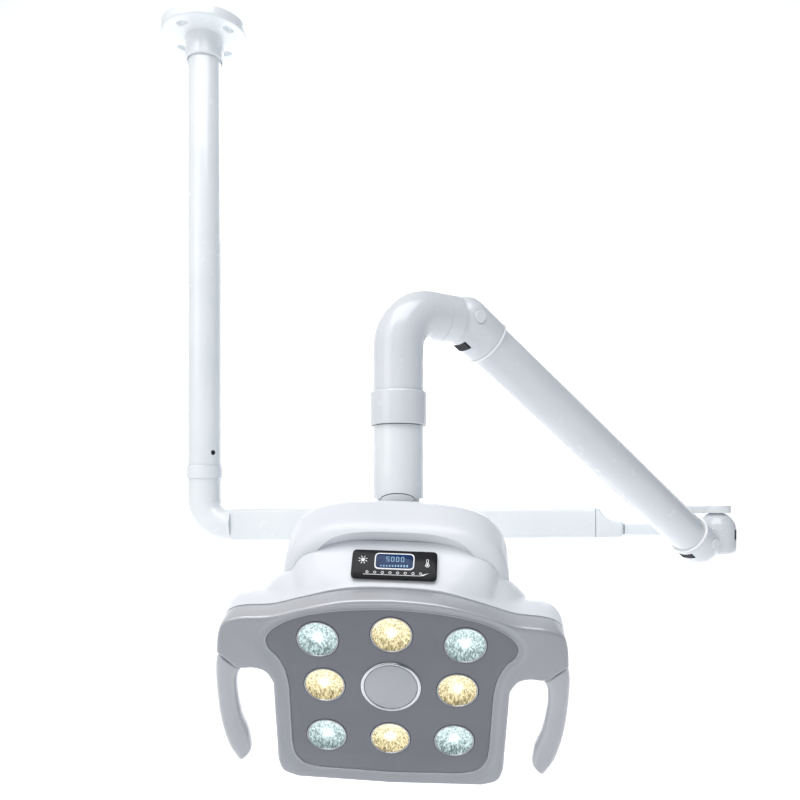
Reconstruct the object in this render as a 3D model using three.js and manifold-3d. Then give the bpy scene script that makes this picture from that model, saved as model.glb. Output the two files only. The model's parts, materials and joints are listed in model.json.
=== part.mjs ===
// Ceiling-mounted dental operating light, in millimetres with +Z up.
// The origin is the centre of the face that lies against the ceiling, on the drop tube's axis.
// The beam runs out from the drop tube, the spring arm swings about the spindle at the beam's end,
// and the lamp head hangs from the neck below the gooseneck at the spring arm's far end.

import * as THREE from "three";
import { mergeVertices } from "three/addons/utils/BufferGeometryUtils.js";
import Module from "manifold-3d";

const wasm = await Module();
wasm.setup();

// ---- Driving dimensions ----
const DEG = Math.PI / 180;
const FIT = 0.3; // gap between pieces that touch

const plateRadius = 55;
const plateThickness = 13;
const plateSlotAngles = [59, 149, 239, 329];
const bossRadius = 24.5;
const bossBottom = -43;
const tubeRadius = 21;
const tubeWall = 3;
const elbowTop = -583;
const elbowBend = 34;
const beamAxis = -643;
const beamHeading = -9.07 * DEG;
const beamStart = 40;
const beamEnd = 493;
const beamTop = -622;
const beamWidth = 32;
const spindleReach = 632.9;

const armHeading = 213.3 * DEG;
const armElevation = 32.05 * DEG;
const armLength = 400;
const lowestElevation = -28 * DEG;
const highestElevation = 45 * DEG;
const hingeOffset = 34; // spindle axis to the lower hinge
const hingeHeight = -662.8;
const sleeveRadius = 23;
const eyeRadius = 17;
const tongueHalfWidth = 8;
const slotHalfWidth = 8.6;
const pinRadius = 4;
const rodDrop = 10.5; // levelling rod's pivots, straight below the hinges
const rodRadius = 2.5;

const neckOffset = 73; // upper hinge to the neck's axis
const neckRadius = 22;
const gooseneckBend = 32;
const collarTop = -521.6;
const collarBottom = -550.7;
const neckBottom = -614;
const neckTurn = -3.4 * DEG;
const tiltHeight = -655;
const faceTilt = 26 * DEG; // the light's axis below the horizontal
const headRoll = -2.2 * DEG;
const faceBelowTilt = 76; // tilt axis to the middle of the lens plate, along the plate
const faceAheadOfTilt = 98; // and square to it

const frameDepth = 19.5;
const lensRadius = 16.5;
const lensSpots = [
  [-57.7, 43], [0, 50], [57.7, 43], [-53.4, -1], [53.4, -1], [-53, -53], [0, -53.6], [53, -53],
];

// ---- Working with solids ----
// Drops triangles that have shrunk to a line, and turns an inside-out mesh right side out.
function tidied(geometry) {
  const bare = geometry.index ? geometry.toNonIndexed() : geometry.clone();
  bare.deleteAttribute("normal");
  bare.deleteAttribute("uv");
  const merged = mergeVertices(bare, 1e-3);
  const corners = merged.index.array;
  const kept = [];
  for (let i = 0; i < corners.length; i += 3) {
    const [a, b, c] = [corners[i], corners[i + 1], corners[i + 2]];
    if (a !== b && b !== c && c !== a) kept.push(a, b, c);
  }
  const position = merged.attributes.position;
  const [p, q, r] = [new THREE.Vector3(), new THREE.Vector3(), new THREE.Vector3()];
  let volume = 0;
  for (let i = 0; i < kept.length; i += 3) {
    p.fromBufferAttribute(position, kept[i]);
    q.fromBufferAttribute(position, kept[i + 1]);
    r.fromBufferAttribute(position, kept[i + 2]);
    volume += p.dot(q.cross(r));
  }
  if (volume < 0) kept.reverse();
  merged.setIndex(kept);
  return merged;
}

function toSolid(geometry) {
  const closed = tidied(geometry);
  return new wasm.Manifold(new wasm.Mesh({
    numProp: 3,
    vertProperties: new Float32Array(closed.attributes.position.array),
    triVerts: new Uint32Array(closed.index.array),
  }));
}

function toGeometry(solid) {
  const mesh = solid.getMesh();
  const geometry = new THREE.BufferGeometry();
  geometry.setAttribute("position", new THREE.BufferAttribute(new Float32Array(mesh.vertProperties), 3));
  geometry.setIndex([...mesh.triVerts]);
  return geometry;
}

function join(first, ...others) {
  return toGeometry(others.reduce((whole, next) => whole.add(toSolid(next)), toSolid(first)));
}

function cut(first, ...tools) {
  return toGeometry(tools.reduce((whole, next) => whole.subtract(toSolid(next)), toSolid(first)));
}

// ---- Basic shapes ----
// A turned shape about Z, from [radius, height] points that start and end on the axis or close.
function turned(profile, segments = 24) {
  const points = profile.map(([radius, height]) => new THREE.Vector2(radius, height));
  return new THREE.LatheGeometry(points, segments).rotateX(Math.PI / 2);
}

function disc(radius, bottom, top, segments = 24) {
  return turned([[0, bottom], [radius, bottom], [radius, top], [0, top]], segments);
}

function ring(inner, outer, bottom, top, segments = 24) {
  const profile = [[inner, bottom], [outer, bottom], [outer, top], [inner, top], [inner, bottom]];
  return turned(profile, segments);
}

const alongX = (geometry) => geometry.rotateY(Math.PI / 2);
const alongY = (geometry) => geometry.rotateX(-Math.PI / 2);

function block(low, high) {
  const size = high.map((value, axis) => value - low[axis]);
  const middle = high.map((value, axis) => (value + low[axis]) / 2);
  return new THREE.BoxGeometry(...size).translate(...middle);
}

function shapeOf(points) {
  return new THREE.Shape(points.map(([x, y]) => new THREE.Vector2(x, y)));
}

// A flat outline in X and Y, made solid from z = bottom to z = top, with rounded edges if asked.
function slab(points, bottom, top, rounding = 0) {
  return new THREE.ExtrudeGeometry(shapeOf(points), {
    depth: top - bottom - 2 * rounding,
    bevelEnabled: rounding > 0,
    bevelThickness: rounding,
    bevelSize: rounding,
    bevelOffset: -rounding,
    bevelSegments: 2,
  }).translate(0, 0, bottom + rounding);
}

// An outline in X and Z, made solid across Y.
function sideSlab(points, halfWidth, rounding = 0) {
  return slab(points, -halfWidth, halfWidth, rounding).rotateX(Math.PI / 2);
}

// A pipe that runs from one point to another, turns a right angle and runs on, in the X-Z plane.
function bentPipe(start, corner, end, bend, outer, inner, steps) {
  const toward = (from, to) => new THREE.Vector3().subVectors(to, from).normalize();
  const before = corner.clone().addScaledVector(toward(corner, start), bend);
  const after = corner.clone().addScaledVector(toward(corner, end), bend);
  const centre = before.clone().add(after).sub(corner);
  const path = [start];
  for (let i = 0; i <= steps; i += 1) {
    const angle = (i / steps) * Math.PI / 2;
    const spoke = new THREE.Vector3().subVectors(before, centre).multiplyScalar(Math.cos(angle));
    const swing = new THREE.Vector3().subVectors(after, centre).multiplyScalar(Math.sin(angle));
    path.push(centre.clone().add(spoke).add(swing));
  }
  path.push(end);
  return tube(path, outer, inner);
}

// A hollow tube along a flat path in the X-Z plane, mitred at each point of the path.
function tube(path, outer, inner, sides = 20) {
  const route = new THREE.CurvePath();
  for (let i = 1; i < path.length; i += 1) route.add(new THREE.LineCurve3(path[i - 1], path[i]));
  const across = new THREE.Vector3(0, 1, 0);
  const frames = path.map((point, i) => {
    const into = new THREE.Vector3().subVectors(point, path[Math.max(i - 1, 0)]);
    const out = new THREE.Vector3().subVectors(path[Math.min(i + 1, path.length - 1)], point);
    return into.normalize().add(out.normalize()).normalize();
  });
  // The path is followed point by point, so that each section stays square to the pipe.
  route.getSpacedPoints = () => path.map((point) => point.clone());
  route.computeFrenetFrames = () => ({
    tangents: frames,
    normals: frames.map((tangent) => new THREE.Vector3().crossVectors(across, tangent)),
    binormals: frames.map(() => across.clone()),
  });
  const section = new THREE.Shape().absarc(0, 0, outer, 0, 2 * Math.PI, false);
  if (inner > 0) section.holes.push(new THREE.Path().absarc(0, 0, inner, 0, 2 * Math.PI, true));
  const options = { steps: path.length - 1, extrudePath: route, curveSegments: sides / 2 };
  return new THREE.ExtrudeGeometry(section, options);
}

// A closed skin through rings of the same number of points, capped flat at both ends.
function loft(rings) {
  const count = rings[0].length;
  const positions = rings.flat().flatMap((point) => [point.x, point.y, point.z]);
  const faces = [];
  for (let level = 0; level + 1 < rings.length; level += 1) {
    for (let i = 0; i < count; i += 1) {
      const a = level * count + i;
      const b = level * count + ((i + 1) % count);
      faces.push(a, b, b + count, a, b + count, a + count);
    }
  }
  const cap = (ringPoints, offset, facingBack) => {
    const flat = ringPoints.map((point) => new THREE.Vector2(point.x, point.y));
    const turn = THREE.ShapeUtils.isClockWise(flat) !== facingBack;
    for (const [a, b, c] of THREE.ShapeUtils.triangulateShape(flat, [])) {
      faces.push(offset + a, offset + (turn ? c : b), offset + (turn ? b : c));
    }
  };
  cap(rings[0], 0, true);
  cap(rings.at(-1), (rings.length - 1) * count, false);
  const geometry = new THREE.BufferGeometry();
  geometry.setAttribute("position", new THREE.Float32BufferAttribute(positions, 3));
  geometry.setIndex(faces);
  return geometry;
}

// ---- Materials ----
function paint(colour, roughness, metalness = 0) {
  return () => new THREE.MeshStandardMaterial({ color: colour, roughness, metalness });
}

const whitePaint = paint(0xe8eef6, 0.3);
const greyPlastic = paint(0xb6b9c2, 0.4);
const darkPlate = paint(0x7a7d86, 0.45);
const blackRubber = paint(0x101216, 0.8);
const blackPanel = paint(0x18191d, 0.25);
const steel = paint(0x9fa4a9, 0.35, 0.9);
const bronze = paint(0xb08d57, 0.4, 0.8);
const aluminium = paint(0xc4c8cc, 0.4, 0.85);
const boardGreen = paint(0x2e5e46, 0.6);
const coolGlass = paint(0xd7f0f0, 0.1);
const warmGlass = paint(0xffebb5, 0.1);
const displayBlue = paint(0x1a2c50, 0.2);

function add(group, name, geometry, material) {
  const mesh = new THREE.Mesh(tidied(geometry), material());
  mesh.name = name;
  group.add(mesh);
}

function frame(parent, name, position, rotation = [0, 0, 0]) {
  const group = new THREE.Group();
  group.name = name;
  group.position.set(...position);
  group.rotation.set(...rotation);
  parent.add(group);
  return group;
}

const light = new THREE.Group();
light.name = "operating_light";

// ---- Ceiling plate and drop tube ----
const screwHeight = -551;
const screwAngles = [-165, -45, 75];
const screwRadius = 3;

function ceilingPlate() {
  const slotRadius = 4.5;
  const slotHalfLength = 3;
  const slotCircle = 40;
  const body = turned([
    [0, 0], [plateRadius - 1, 0], [plateRadius, -1], [plateRadius, 2 - plateThickness],
    [plateRadius - 2, -plateThickness], [bossRadius + 2, -plateThickness],
    [bossRadius, -plateThickness - 2], [bossRadius, bossBottom + 1],
    [bossRadius - 1, bossBottom], [0, bossBottom],
  ], 32);
  const slots = plateSlotAngles.map((angle) => {
    const end = (side) => disc(slotRadius, -plateThickness - 1, 1, 12)
      .translate(slotCircle, side * slotHalfLength, 0);
    const middle = block(
      [slotCircle - slotRadius, -slotHalfLength, -plateThickness - 1],
      [slotCircle + slotRadius, slotHalfLength, 1],
    );
    return join(end(-1), end(1), middle).rotateZ(angle * DEG);
  });
  const socket = disc(tubeRadius + FIT, bossBottom - 1, -16);
  const cableHole = disc(5, bossBottom, 1, 16).translate(13, 0, 0);
  return cut(body, socket, cableHole, ...slots);
}

function dropTube() {
  const pipe = ring(tubeRadius - tubeWall, tubeRadius, elbowTop + FIT, -16 - FIT);
  const holes = screwAngles.map((angle) => alongX(disc(screwRadius + FIT, 10, 30, 12))
    .translate(0, 0, screwHeight).rotateZ(angle * DEG));
  return cut(pipe, ...holes);
}

function setScrew(angle) {
  const body = disc(screwRadius, tubeRadius - tubeWall + 0.1, tubeRadius - 0.2, 12);
  const socket = disc(1.6, tubeRadius - 1.8, tubeRadius, 6);
  return alongX(cut(body, socket)).translate(0, 0, screwHeight).rotateZ(angle * DEG);
}

add(light, "ceiling_plate", ceilingPlate(), whitePaint);
add(light, "drop_tube", dropTube(), whitePaint);
screwAngles.forEach((angle, i) => add(light, `set_screw_${i + 1}`, setScrew(angle), steel));
add(light, "tube_collar", turned([
  [21.3, -584], [22.8, -584], [22.8, -568.5], [22, -567.5], [21.3, -567.5], [21.3, -584],
]), whitePaint);

// ---- Elbow, beam and swing bracket ----
const beam = frame(light, "beam_frame", [0, 0, 0], [0, 0, beamHeading]);

function supportElbow() {
  const pipe = bentPipe(
    new THREE.Vector3(0, 0, elbowTop), new THREE.Vector3(0, 0, beamAxis),
    new THREE.Vector3(beamStart, 0, beamAxis), elbowBend, tubeRadius, 17, 6,
  );
  return join(pipe, ring(15, tubeRadius - tubeWall - FIT, -592, -537, 20));
}

function supportBeam() {
  const outside = sideSlab([
    [beamStart + FIT, beamTop], [beamStart + FIT, -664], [beamEnd, -657.4], [beamEnd, beamTop],
  ], beamWidth / 2, 5);
  const inside = sideSlab([
    [beamStart - 5, beamTop - 3], [beamStart - 5, -661], [beamEnd - 4, -654.4],
    [beamEnd - 4, beamTop - 3],
  ], beamWidth / 2 - 3);
  return cut(outside, inside);
}

function beamEndCap() {
  const slope = new THREE.QuadraticBezierCurve(
    new THREE.Vector2(beamEnd + 5, beamTop), new THREE.Vector2(505, -635),
    new THREE.Vector2(516, -637),
  ).getPoints(4).map((point) => [point.x, point.y]);
  return sideSlab([
    [beamEnd + FIT, -657.4], [beamEnd + FIT, beamTop], ...slope,
    [521, -637], [525, -641], [525, -652.7], [521, -656.7],
  ], beamWidth / 2, 1);
}

const bracketTop = -619;
const bracketBottom = -628;
const bracketEyeRadius = 16;
const spindleRadius = 8;
const spindleHead = [11, 3]; // radius and height

function swingBracket() {
  const web = sideSlab([
    [525 + FIT, -654], [572, -654], [589, bracketBottom], [spindleReach, bracketBottom],
    [spindleReach, bracketTop], [582, bracketTop], [563, -640], [525 + FIT, -640],
  ], 9, 2);
  const eye = turned([
    [0, bracketBottom], [bracketEyeRadius, bracketBottom], [bracketEyeRadius, bracketTop - 2],
    [bracketEyeRadius - 2, bracketTop], [0, bracketTop],
  ]).translate(spindleReach, 0, 0);
  const bore = disc(spindleRadius + FIT, -640, -600).translate(spindleReach, 0, 0);
  const headSeat = disc(spindleHead[0] + FIT, bracketTop - spindleHead[1] - FIT, -600)
    .translate(spindleReach, 0, 0);
  return cut(join(web, eye), bore, headSeat);
}

function spindle() {
  const [headRadius, headHeight] = spindleHead;
  return turned([
    [0, -670], [spindleRadius - 1, -670], [spindleRadius, -669],
    [spindleRadius, bracketTop - headHeight], [headRadius, bracketTop - headHeight],
    [headRadius, bracketTop - 0.6], [headRadius - 0.6, bracketTop], [0, bracketTop],
  ], 24).translate(spindleReach, 0, 0);
}

add(beam, "support_elbow", supportElbow(), whitePaint);
add(beam, "support_beam", supportBeam(), whitePaint);
add(beam, "beam_end_cap", beamEndCap(), whitePaint);
add(beam, "swing_bracket", swingBracket(), whitePaint);
add(beam, "swing_spindle", spindle(), steel);
add(beam, "spindle_nut", cut(disc(11, -674, -669.5, 6), disc(spindleRadius + FIT, -680, -660, 24))
  .translate(spindleReach, 0, 0), steel);

// ---- Base knuckle, which swings about the spindle ----
const spindleAxis = [
  spindleReach * Math.cos(beamHeading), spindleReach * Math.sin(beamHeading), 0,
];
const base = frame(light, "base_frame", spindleAxis, [0, 0, armHeading]);

// The space that a tongue sweeps, as it turns from one angle to another about the Y axis at 0.
function sweep(from, to, halfHeight, reach, halfWidth) {
  const direction = (angle) => [Math.cos(angle), Math.sin(angle)];
  const edge = (angle, side) => {
    const [x, z] = direction(angle);
    return [[-side * z * halfHeight, side * x * halfHeight], [
      x * reach - side * z * halfHeight, z * reach + side * x * halfHeight,
    ]];
  };
  const [nearFrom, farFrom] = edge(from, -1);
  const [nearTo, farTo] = edge(to, 1);
  const [x, z] = direction((from + to) / 2);
  const tip = [x * reach * 1.25, z * reach * 1.25];
  return sideSlab([nearFrom, farFrom, tip, farTo, nearTo, [-x, -z]], halfWidth);
}

// The eye of a hinge, with a groove for the end of the levelling rod below the hinge pin.
function hingeEye(tongue, grooveFrom, grooveTo) {
  const eye = alongY(disc(eyeRadius, -tongueHalfWidth, tongueHalfWidth));
  const pinHole = alongY(disc(pinRadius + FIT, -20, 20, 16));
  const groove = sweep(grooveFrom, grooveTo, 5.2, 30, 2.6).translate(0, 0, -rodDrop);
  const grooveEnd = alongY(disc(5.2, -2.6, 2.6, 16)).translate(0, 0, -rodDrop);
  const smallHole = alongY(disc(2, -20, 20, 12)).translate(0, 0, -rodDrop);
  const solidPart = cut(join(tongue, eye), groove, grooveEnd);
  return cut(join(solidPart, pinCollar()), pinHole, smallHole);
}

// The hinge pin's bearing stays whole where the groove passes below it.
function pinCollar() {
  return alongY(disc(4.7, -tongueHalfWidth, tongueHalfWidth, 16));
}

function baseKnuckle() {
  const barrel = turned([
    [0, -676], [16, -676], [20, -673.5], [22, -669], [22, -648], [20.8, -641], [17.5, -634.5],
    [12.5, -630], [9, -628.4], [0, -628.4],
  ]);
  const scoop = new THREE.SphereGeometry(sleeveRadius + 0.6, 20, 14)
    .translate(hingeOffset, 0, hingeHeight);
  const tongue = block([-24, -tongueHalfWidth, -11], [0, tongueHalfWidth, 11]);
  const eye = hingeEye(tongue, lowestElevation, highestElevation)
    .translate(hingeOffset, 0, hingeHeight);
  const bore = disc(8.4, -680, -620, 24);
  const nutSpace = disc(13, -677, -668, 24);
  const pocket = block([-4, 18, -6], [4, 26, 6]).rotateZ(18 * DEG).translate(0, 0, -653);
  return cut(join(cut(barrel, scoop), eye), bore, nutSpace, pocket);
}

add(base, "base_knuckle", baseKnuckle(), whitePaint);
add(base, "base_stop_rubber", block([-3.6, 18.4, -5.6], [3.6, 21.6, 5.6])
  .rotateZ(18 * DEG).translate(0, 0, -653), blackRubber);
add(base, "rod_pin_lower", alongY(disc(1.7, -7.6, 7.6, 10))
  .translate(hingeOffset, 0, hingeHeight - rodDrop), steel);

// ---- Spring arm ----
const arm = frame(
  base, "arm_frame", [hingeOffset, 0, hingeHeight], [0, -armElevation, 0],
);

const ringWidth = 2.7;
const lowerSleeveEnd = 18;
const upperSleeveStart = armLength - 29;

// A knuckle sleeve with its hinge at 0, its open end at X = end and its round end towards -X.
function sleeve(end, slotFrom, slotTo, stopMiddle) {
  const roundEnd = [];
  for (let angle = 0; angle <= 90; angle += 15) {
    roundEnd.push([sleeveRadius * Math.sin(angle * DEG), -sleeveRadius * Math.cos(angle * DEG)]);
  }
  const outside = alongX(turned([...roundEnd, [sleeveRadius, end], [0, end]]));
  const bore = alongX(disc(17, 6, end + 1));
  const eyeSpace = alongY(disc(eyeRadius + 2.2, -slotHalfWidth, slotHalfWidth));
  const slot = sweep(slotFrom, slotTo, 12, 40, slotHalfWidth);
  const pinHole = alongY(disc(pinRadius + FIT, -30, 30, 16));
  const capSeats = [-1, 1].map((side) => alongY(disc(6.4, 21.5, 30, 16)).scale(1, side, 1));
  const stopPocket = block(
    [stopMiddle - 4.4, -slotHalfWidth, -24], [stopMiddle + 4.4, slotHalfWidth, -15],
  );
  return cut(outside, bore, eyeSpace, slot, pinHole, ...capSeats, stopPocket);
}

function stopRubber(middle) {
  return block([middle - 4, -8.2, -22.6], [middle + 4, 8.2, -18.4]);
}

function hingePin() {
  const half = [[0, 23.9], [5.2, 23.9], [6, 23.3], [6, 21.8], [pinRadius, 21.8]];
  const other = half.map(([radius, y]) => [radius, -y]).reverse();
  return alongY(turned([...half, ...other], 16));
}

function balanceSpring(start, end, coils, radius, wire) {
  const stepsPerCoil = 7;
  const steps = coils * stepsPerCoil;
  const points = [];
  for (let i = 0; i <= steps; i += 1) {
    const angle = (i / stepsPerCoil) * 2 * Math.PI;
    points.push(new THREE.Vector3(
      start + (end - start) * (i / steps), radius * Math.cos(angle), radius * Math.sin(angle),
    ));
  }
  const path = new THREE.CatmullRomCurve3(points);
  const section = new THREE.Shape().absarc(0, 0, wire / 2, 0, 2 * Math.PI, false);
  const options = { steps, extrudePath: path, curveSegments: 3 };
  return new THREE.ExtrudeGeometry(section, options).translate(0, 0, 4.5);
}

const sleeveLower = sleeve(lowerSleeveEnd, Math.PI - highestElevation, Math.PI - lowestElevation, 9.6);
const sleeveUpper = sleeve(
  armLength - upperSleeveStart, Math.PI + lowestElevation, Math.PI + highestElevation, 10,
).scale(-1, 1, 1).translate(armLength, 0, 0);
add(arm, "lower_sleeve", sleeveLower, whitePaint);
add(arm, "upper_sleeve", sleeveUpper, whitePaint);
add(arm, "lower_trim_ring", alongX(ring(
  18, 23.2, lowerSleeveEnd + FIT, lowerSleeveEnd + ringWidth,
)), whitePaint);
add(arm, "upper_trim_ring", alongX(ring(
  18, 23.2, upperSleeveStart - ringWidth, upperSleeveStart - FIT,
)), whitePaint);
add(arm, "arm_tube", alongX(ring(
  tubeRadius - tubeWall, tubeRadius, lowerSleeveEnd + ringWidth + FIT,
  upperSleeveStart - ringWidth - FIT,
)), whitePaint);
add(arm, "lower_hinge_pin", hingePin(), steel);
add(arm, "upper_hinge_pin", hingePin().translate(armLength, 0, 0), steel);
add(arm, "lower_stop_rubber", stopRubber(9.6), blackRubber);
add(arm, "upper_stop_rubber", stopRubber(armLength - 10), blackRubber);
add(arm, "balance_spring", balanceSpring(70, 235, 10, 8, 2.4), steel);
add(arm, "spring_seat", cut(
  alongX(disc(17.6, 238, 246, 24)), block([230, -9, -20], [250, 9, -3]),
), steel);
add(arm, "spring_anchor", cut(
  alongX(disc(17.6, 56, 64, 24)), block([50, -9, -20], [70, 9, -3]),
), steel);

// ---- Levelling rod, which stays level with the arm below its hinges ----
const rod = frame(
  base, "rod_frame", [hingeOffset, 0, hingeHeight - rodDrop], [0, -armElevation, 0],
);

function levellingRod() {
  const eyeAt = (x) => alongY(disc(4.2, -2, 2, 16)).translate(x, 0, 0);
  const holeAt = (x) => alongY(disc(2.2, -5, 5, 12)).translate(x, 0, 0);
  const bar = alongX(disc(rodRadius, 2, armLength - 2, 12)).scale(1, 0.8, 1);
  return cut(join(bar, eyeAt(0), eyeAt(armLength)), holeAt(0), holeAt(armLength));
}

add(rod, "levelling_rod", levellingRod(), steel);

// ---- Gooseneck ----
const upperHinge = [
  hingeOffset + armLength * Math.cos(armElevation), 0,
  hingeHeight + armLength * Math.sin(armElevation),
];
const goose = frame(base, "gooseneck_frame", upperHinge);
const legBottom = collarBottom + FIT - upperHinge[2];

function gooseneck() {
  const pipe = bentPipe(
    new THREE.Vector3(14, 0, 0), new THREE.Vector3(neckOffset, 0, 0),
    new THREE.Vector3(neckOffset, 0, legBottom), gooseneckBend, neckRadius, 18, 7,
  );
  const plug = alongX(disc(19, 14, 26));
  const scoop = new THREE.SphereGeometry(sleeveRadius + 0.6, 20, 14);
  const tongue = block([0, -tongueHalfWidth, -11], [22, tongueHalfWidth, 11]);
  const eye = hingeEye(tongue, Math.PI + lowestElevation, Math.PI + highestElevation);
  return join(cut(join(pipe, plug), scoop), eye);
}

function swivelCollar() {
  const top = collarTop - upperHinge[2];
  const bottom = collarBottom - upperHinge[2];
  return turned([
    [22.3, bottom], [24.2, bottom], [24.7, bottom + 0.6], [24.7, top - 1.2], [24.1, top],
    [22.3, top], [22.3, bottom],
  ]).translate(neckOffset, 0, 0);
}

function neckBush(top, bottom) {
  return ring(10.3, 17.7, bottom, top, 28).translate(neckOffset, 0, 0);
}

add(goose, "gooseneck", gooseneck(), whitePaint);
add(goose, "swivel_collar", swivelCollar(), whitePaint);
add(goose, "upper_bush", neckBush(-60, -68), bronze);
add(goose, "lower_bush", neckBush(-90, -98), bronze);
add(goose, "rod_pin_upper", alongY(disc(1.7, -7.6, 7.6, 10)).translate(0, 0, -rodDrop), steel);

// ---- Neck, which swivels in the gooseneck ----
const neckAxis = [
  spindleAxis[0] + (upperHinge[0] + neckOffset) * Math.cos(armHeading),
  spindleAxis[1] + (upperHinge[0] + neckOffset) * Math.sin(armHeading),
  0,
];
const neck = frame(light, "neck_frame", neckAxis, [0, 0, neckTurn]);

function neckSpindle() {
  const shaft = turned([
    [0, -503], [14, -503], [15, -504], [15, -507], [10, -507], [10, -553], [18.7, -553],
    [18.7, -560], [12, -560], [12, -634], [0, -634],
  ], 28);
  const tongue = block([-8, -11, tiltHeight], [8, 11, -630]);
  const eye = alongX(disc(12, -8, 8, 28)).translate(0, 0, tiltHeight);
  const pinHole = alongX(disc(5.5, -20, 20, 20)).translate(0, 0, tiltHeight);
  return cut(join(shaft, tongue, eye), pinHole);
}

add(neck, "neck_tube", ring(19, neckRadius, neckBottom, collarBottom - FIT), whitePaint);
add(neck, "neck_spindle", neckSpindle(), steel);

// ---- Lamp head, which tilts about the neck's pin ----
// Inside the head, X runs to the right, Y up along the lens plate and Z out of it.
const head = frame(neck, "head_frame", [0, 0, tiltHeight], [Math.PI / 2 + faceTilt, 0, headRoll]);
const face = frame(head, "face_frame", [0, -faceBelowTilt, faceAheadOfTilt]);

function spline(points, count) {
  const curve = new THREE.SplineCurve(points.map(([x, y]) => new THREE.Vector2(x, y)));
  return curve.getPoints(count).map((point) => [point.x, point.y]);
}

// The other half of an outline that runs clockwise from the middle of the top to the bottom.
function mirrored(half) {
  const inner = half.filter(([x]) => x > 0.01);
  return [...half, ...inner.map(([x, y]) => [-x, y]).reverse()];
}

function frameHalf() {
  return [
    ...spline([[0, 82], [36, 79.5], [69, 71.5], [95, 63.5], [121, 60.5], [131.5, 54], [139.3, 27]], 12),
    [125.7, 13.2],
    ...spline([[119, 11.8], [110, 12.5], [101, 9], [95.5, -1]], 6),
    ...spline([[95.7, -78], [92, -95], [78, -105]], 5),
    [0, -109],
  ];
}

function plateHalf(grow) {
  return [
    ...spline([[0, 73], [36, 70.5], [68, 64], [91, 53], [101, 39]], 10),
    ...spline([[93, 29], [85, 19], [82, 2]], 5),
    ...spline([[82, -60], [80, -74], [72, -84.5], [58, -88.5]], 6),
    [0, -90.5],
  ].map(([x, y]) => [x * (1 + grow / 90), y * (1 + grow / 80)]);
}

const frameOutline = mirrored(frameHalf());

function frontFrame() {
  const body = slab(frameOutline, -frameDepth, 0, 2);
  const seat = slab(mirrored(plateHalf(0.5)), -6, 5);
  const window = slab(mirrored(plateHalf(-4)), -30, 0);
  return cut(body, seat, window);
}

function lensPlate() {
  const holes = lensSpots.map(([x, y]) => disc(lensRadius + 0.4, -20, 5, 18).translate(x, y, 0));
  return cut(slab(mirrored(plateHalf(0)), -5.7, -2), ...holes);
}

function lens(x, y) {
  return turned([
    [0, -17], [8, -17], [lensRadius, -5], [lensRadius, -1.5], [0, -0.6],
  ], 18).translate(x, y, 0);
}

// A grip: its outer edge, its tip and its inner edge, below the frame's wing.
function grip(side) {
  const outline = [
    [139.2, 26.4],
    ...spline([[142, 20], [143.8, -12], [143, -44], [138, -72], [128, -90]], 8),
    ...spline([[118.4, -76], [119.6, -62], [124.8, -41], [126.6, -16], [125, 1], [119.4, 11.4]], 8),
    [125.6, 12.7],
  ];
  const body = slab(outline, -frameDepth + 0.7, -0.7, 3);
  return side > 0 ? body : body.scale(-1, 1, 1);
}

add(face, "front_frame", frontFrame(), greyPlastic);
add(face, "lens_plate", lensPlate(), darkPlate);
add(face, "handle_right", grip(1), greyPlastic);
add(face, "handle_left", grip(-1), greyPlastic);
lensSpots.forEach(([x, y], i) => {
  const cool = [0, 2, 5, 7].includes(i);
  add(face, `lens_${i + 1}`, lens(x, y), cool ? coolGlass : warmGlass);
});
add(face, "centre_ring", ring(21.6, 24.3, -2 + FIT, -0.2), steel);
add(face, "centre_disc", turned([[0, -1.7], [21.2, -1.7], [21.2, -1], [0, -0.8]]), aluminium);

// ---- Rear shell and hood ----
// The shell's outline, drawn in as it goes back from the seam: [depth, scale].
const shellLevels = [
  [-frameDepth - FIT, 1], [-40, 1], [-51, 0.95], [-59, 0.84], [-64, 0.64],
];

function shellSkin(levels, grow) {
  return loft(levels.map(([z, scale]) => frameOutline.map(([x, y]) => new THREE.Vector3(
    x * (scale + grow / 110), y * (scale + grow / 90), z,
  ))));
}

// The sloping deck that carries the control panel, from the seam back under the hood. It starts
// as round as the frame's top edge and gets squarer: [depth, top, half width, power].
const deckLevels = [
  [-frameDepth - FIT, 82, 86, 2.6], [-25, 84.8, 83.5, 3.8], [-32, 88.6, 80, 5], [-46, 96, 75, 5],
  [-64, 102, 72, 5],
];

function deck(grow) {
  return loft(deckLevels.map(([z, top, halfWidth, power]) => archPoints(
    halfWidth + grow, top + grow, 20, z, power,
  )));
}

// An arch: flat at the bottom, with a rounded top. Larger powers give squarer corners.
function archPoints(halfWidth, top, bottom, z, power) {
  const count = 20;
  const points = [];
  for (let i = 0; i <= count; i += 1) {
    const angle = Math.PI * (i / count);
    const x = Math.sign(Math.cos(angle)) * Math.abs(Math.cos(angle)) ** (2 / power);
    const y = Math.sin(angle) ** (2 / power);
    points.push(new THREE.Vector3(halfWidth * x, bottom + (top - bottom) * y, z));
  }
  return points;
}

function rearShell() {
  const outside = join(shellSkin(shellLevels, 0), deck(0));
  const insideLevels = shellLevels.map(([z, scale]) => [z + 3, scale - 0.032]);
  insideLevels[0][0] = -10;
  const rearWall = block([-200, -200, -80], [200, 200, -61]);
  const inside = join(shellSkin(insideLevels, 0), cut(deck(-3), rearWall));
  const front = block([-200, -200, -frameDepth - FIT], [200, 200, 0]);
  return cut(outside, inside, front);
}

// The hood's sections: [depth, half width, top, bottom].
const hoodLevels = [
  [-50, 88, 108, 44], [-57, 94, 115.5, 41], [-72, 95, 121, 40], [-88, 95, 124, 39],
  [-104, 92, 113, 39], [-120, 85, 103, 40], [-132, 72, 92, 44], [-139, 52, 80, 52],
];
const hoodWall = 3;
const neckSlotHalfWidth = 24;

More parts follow.
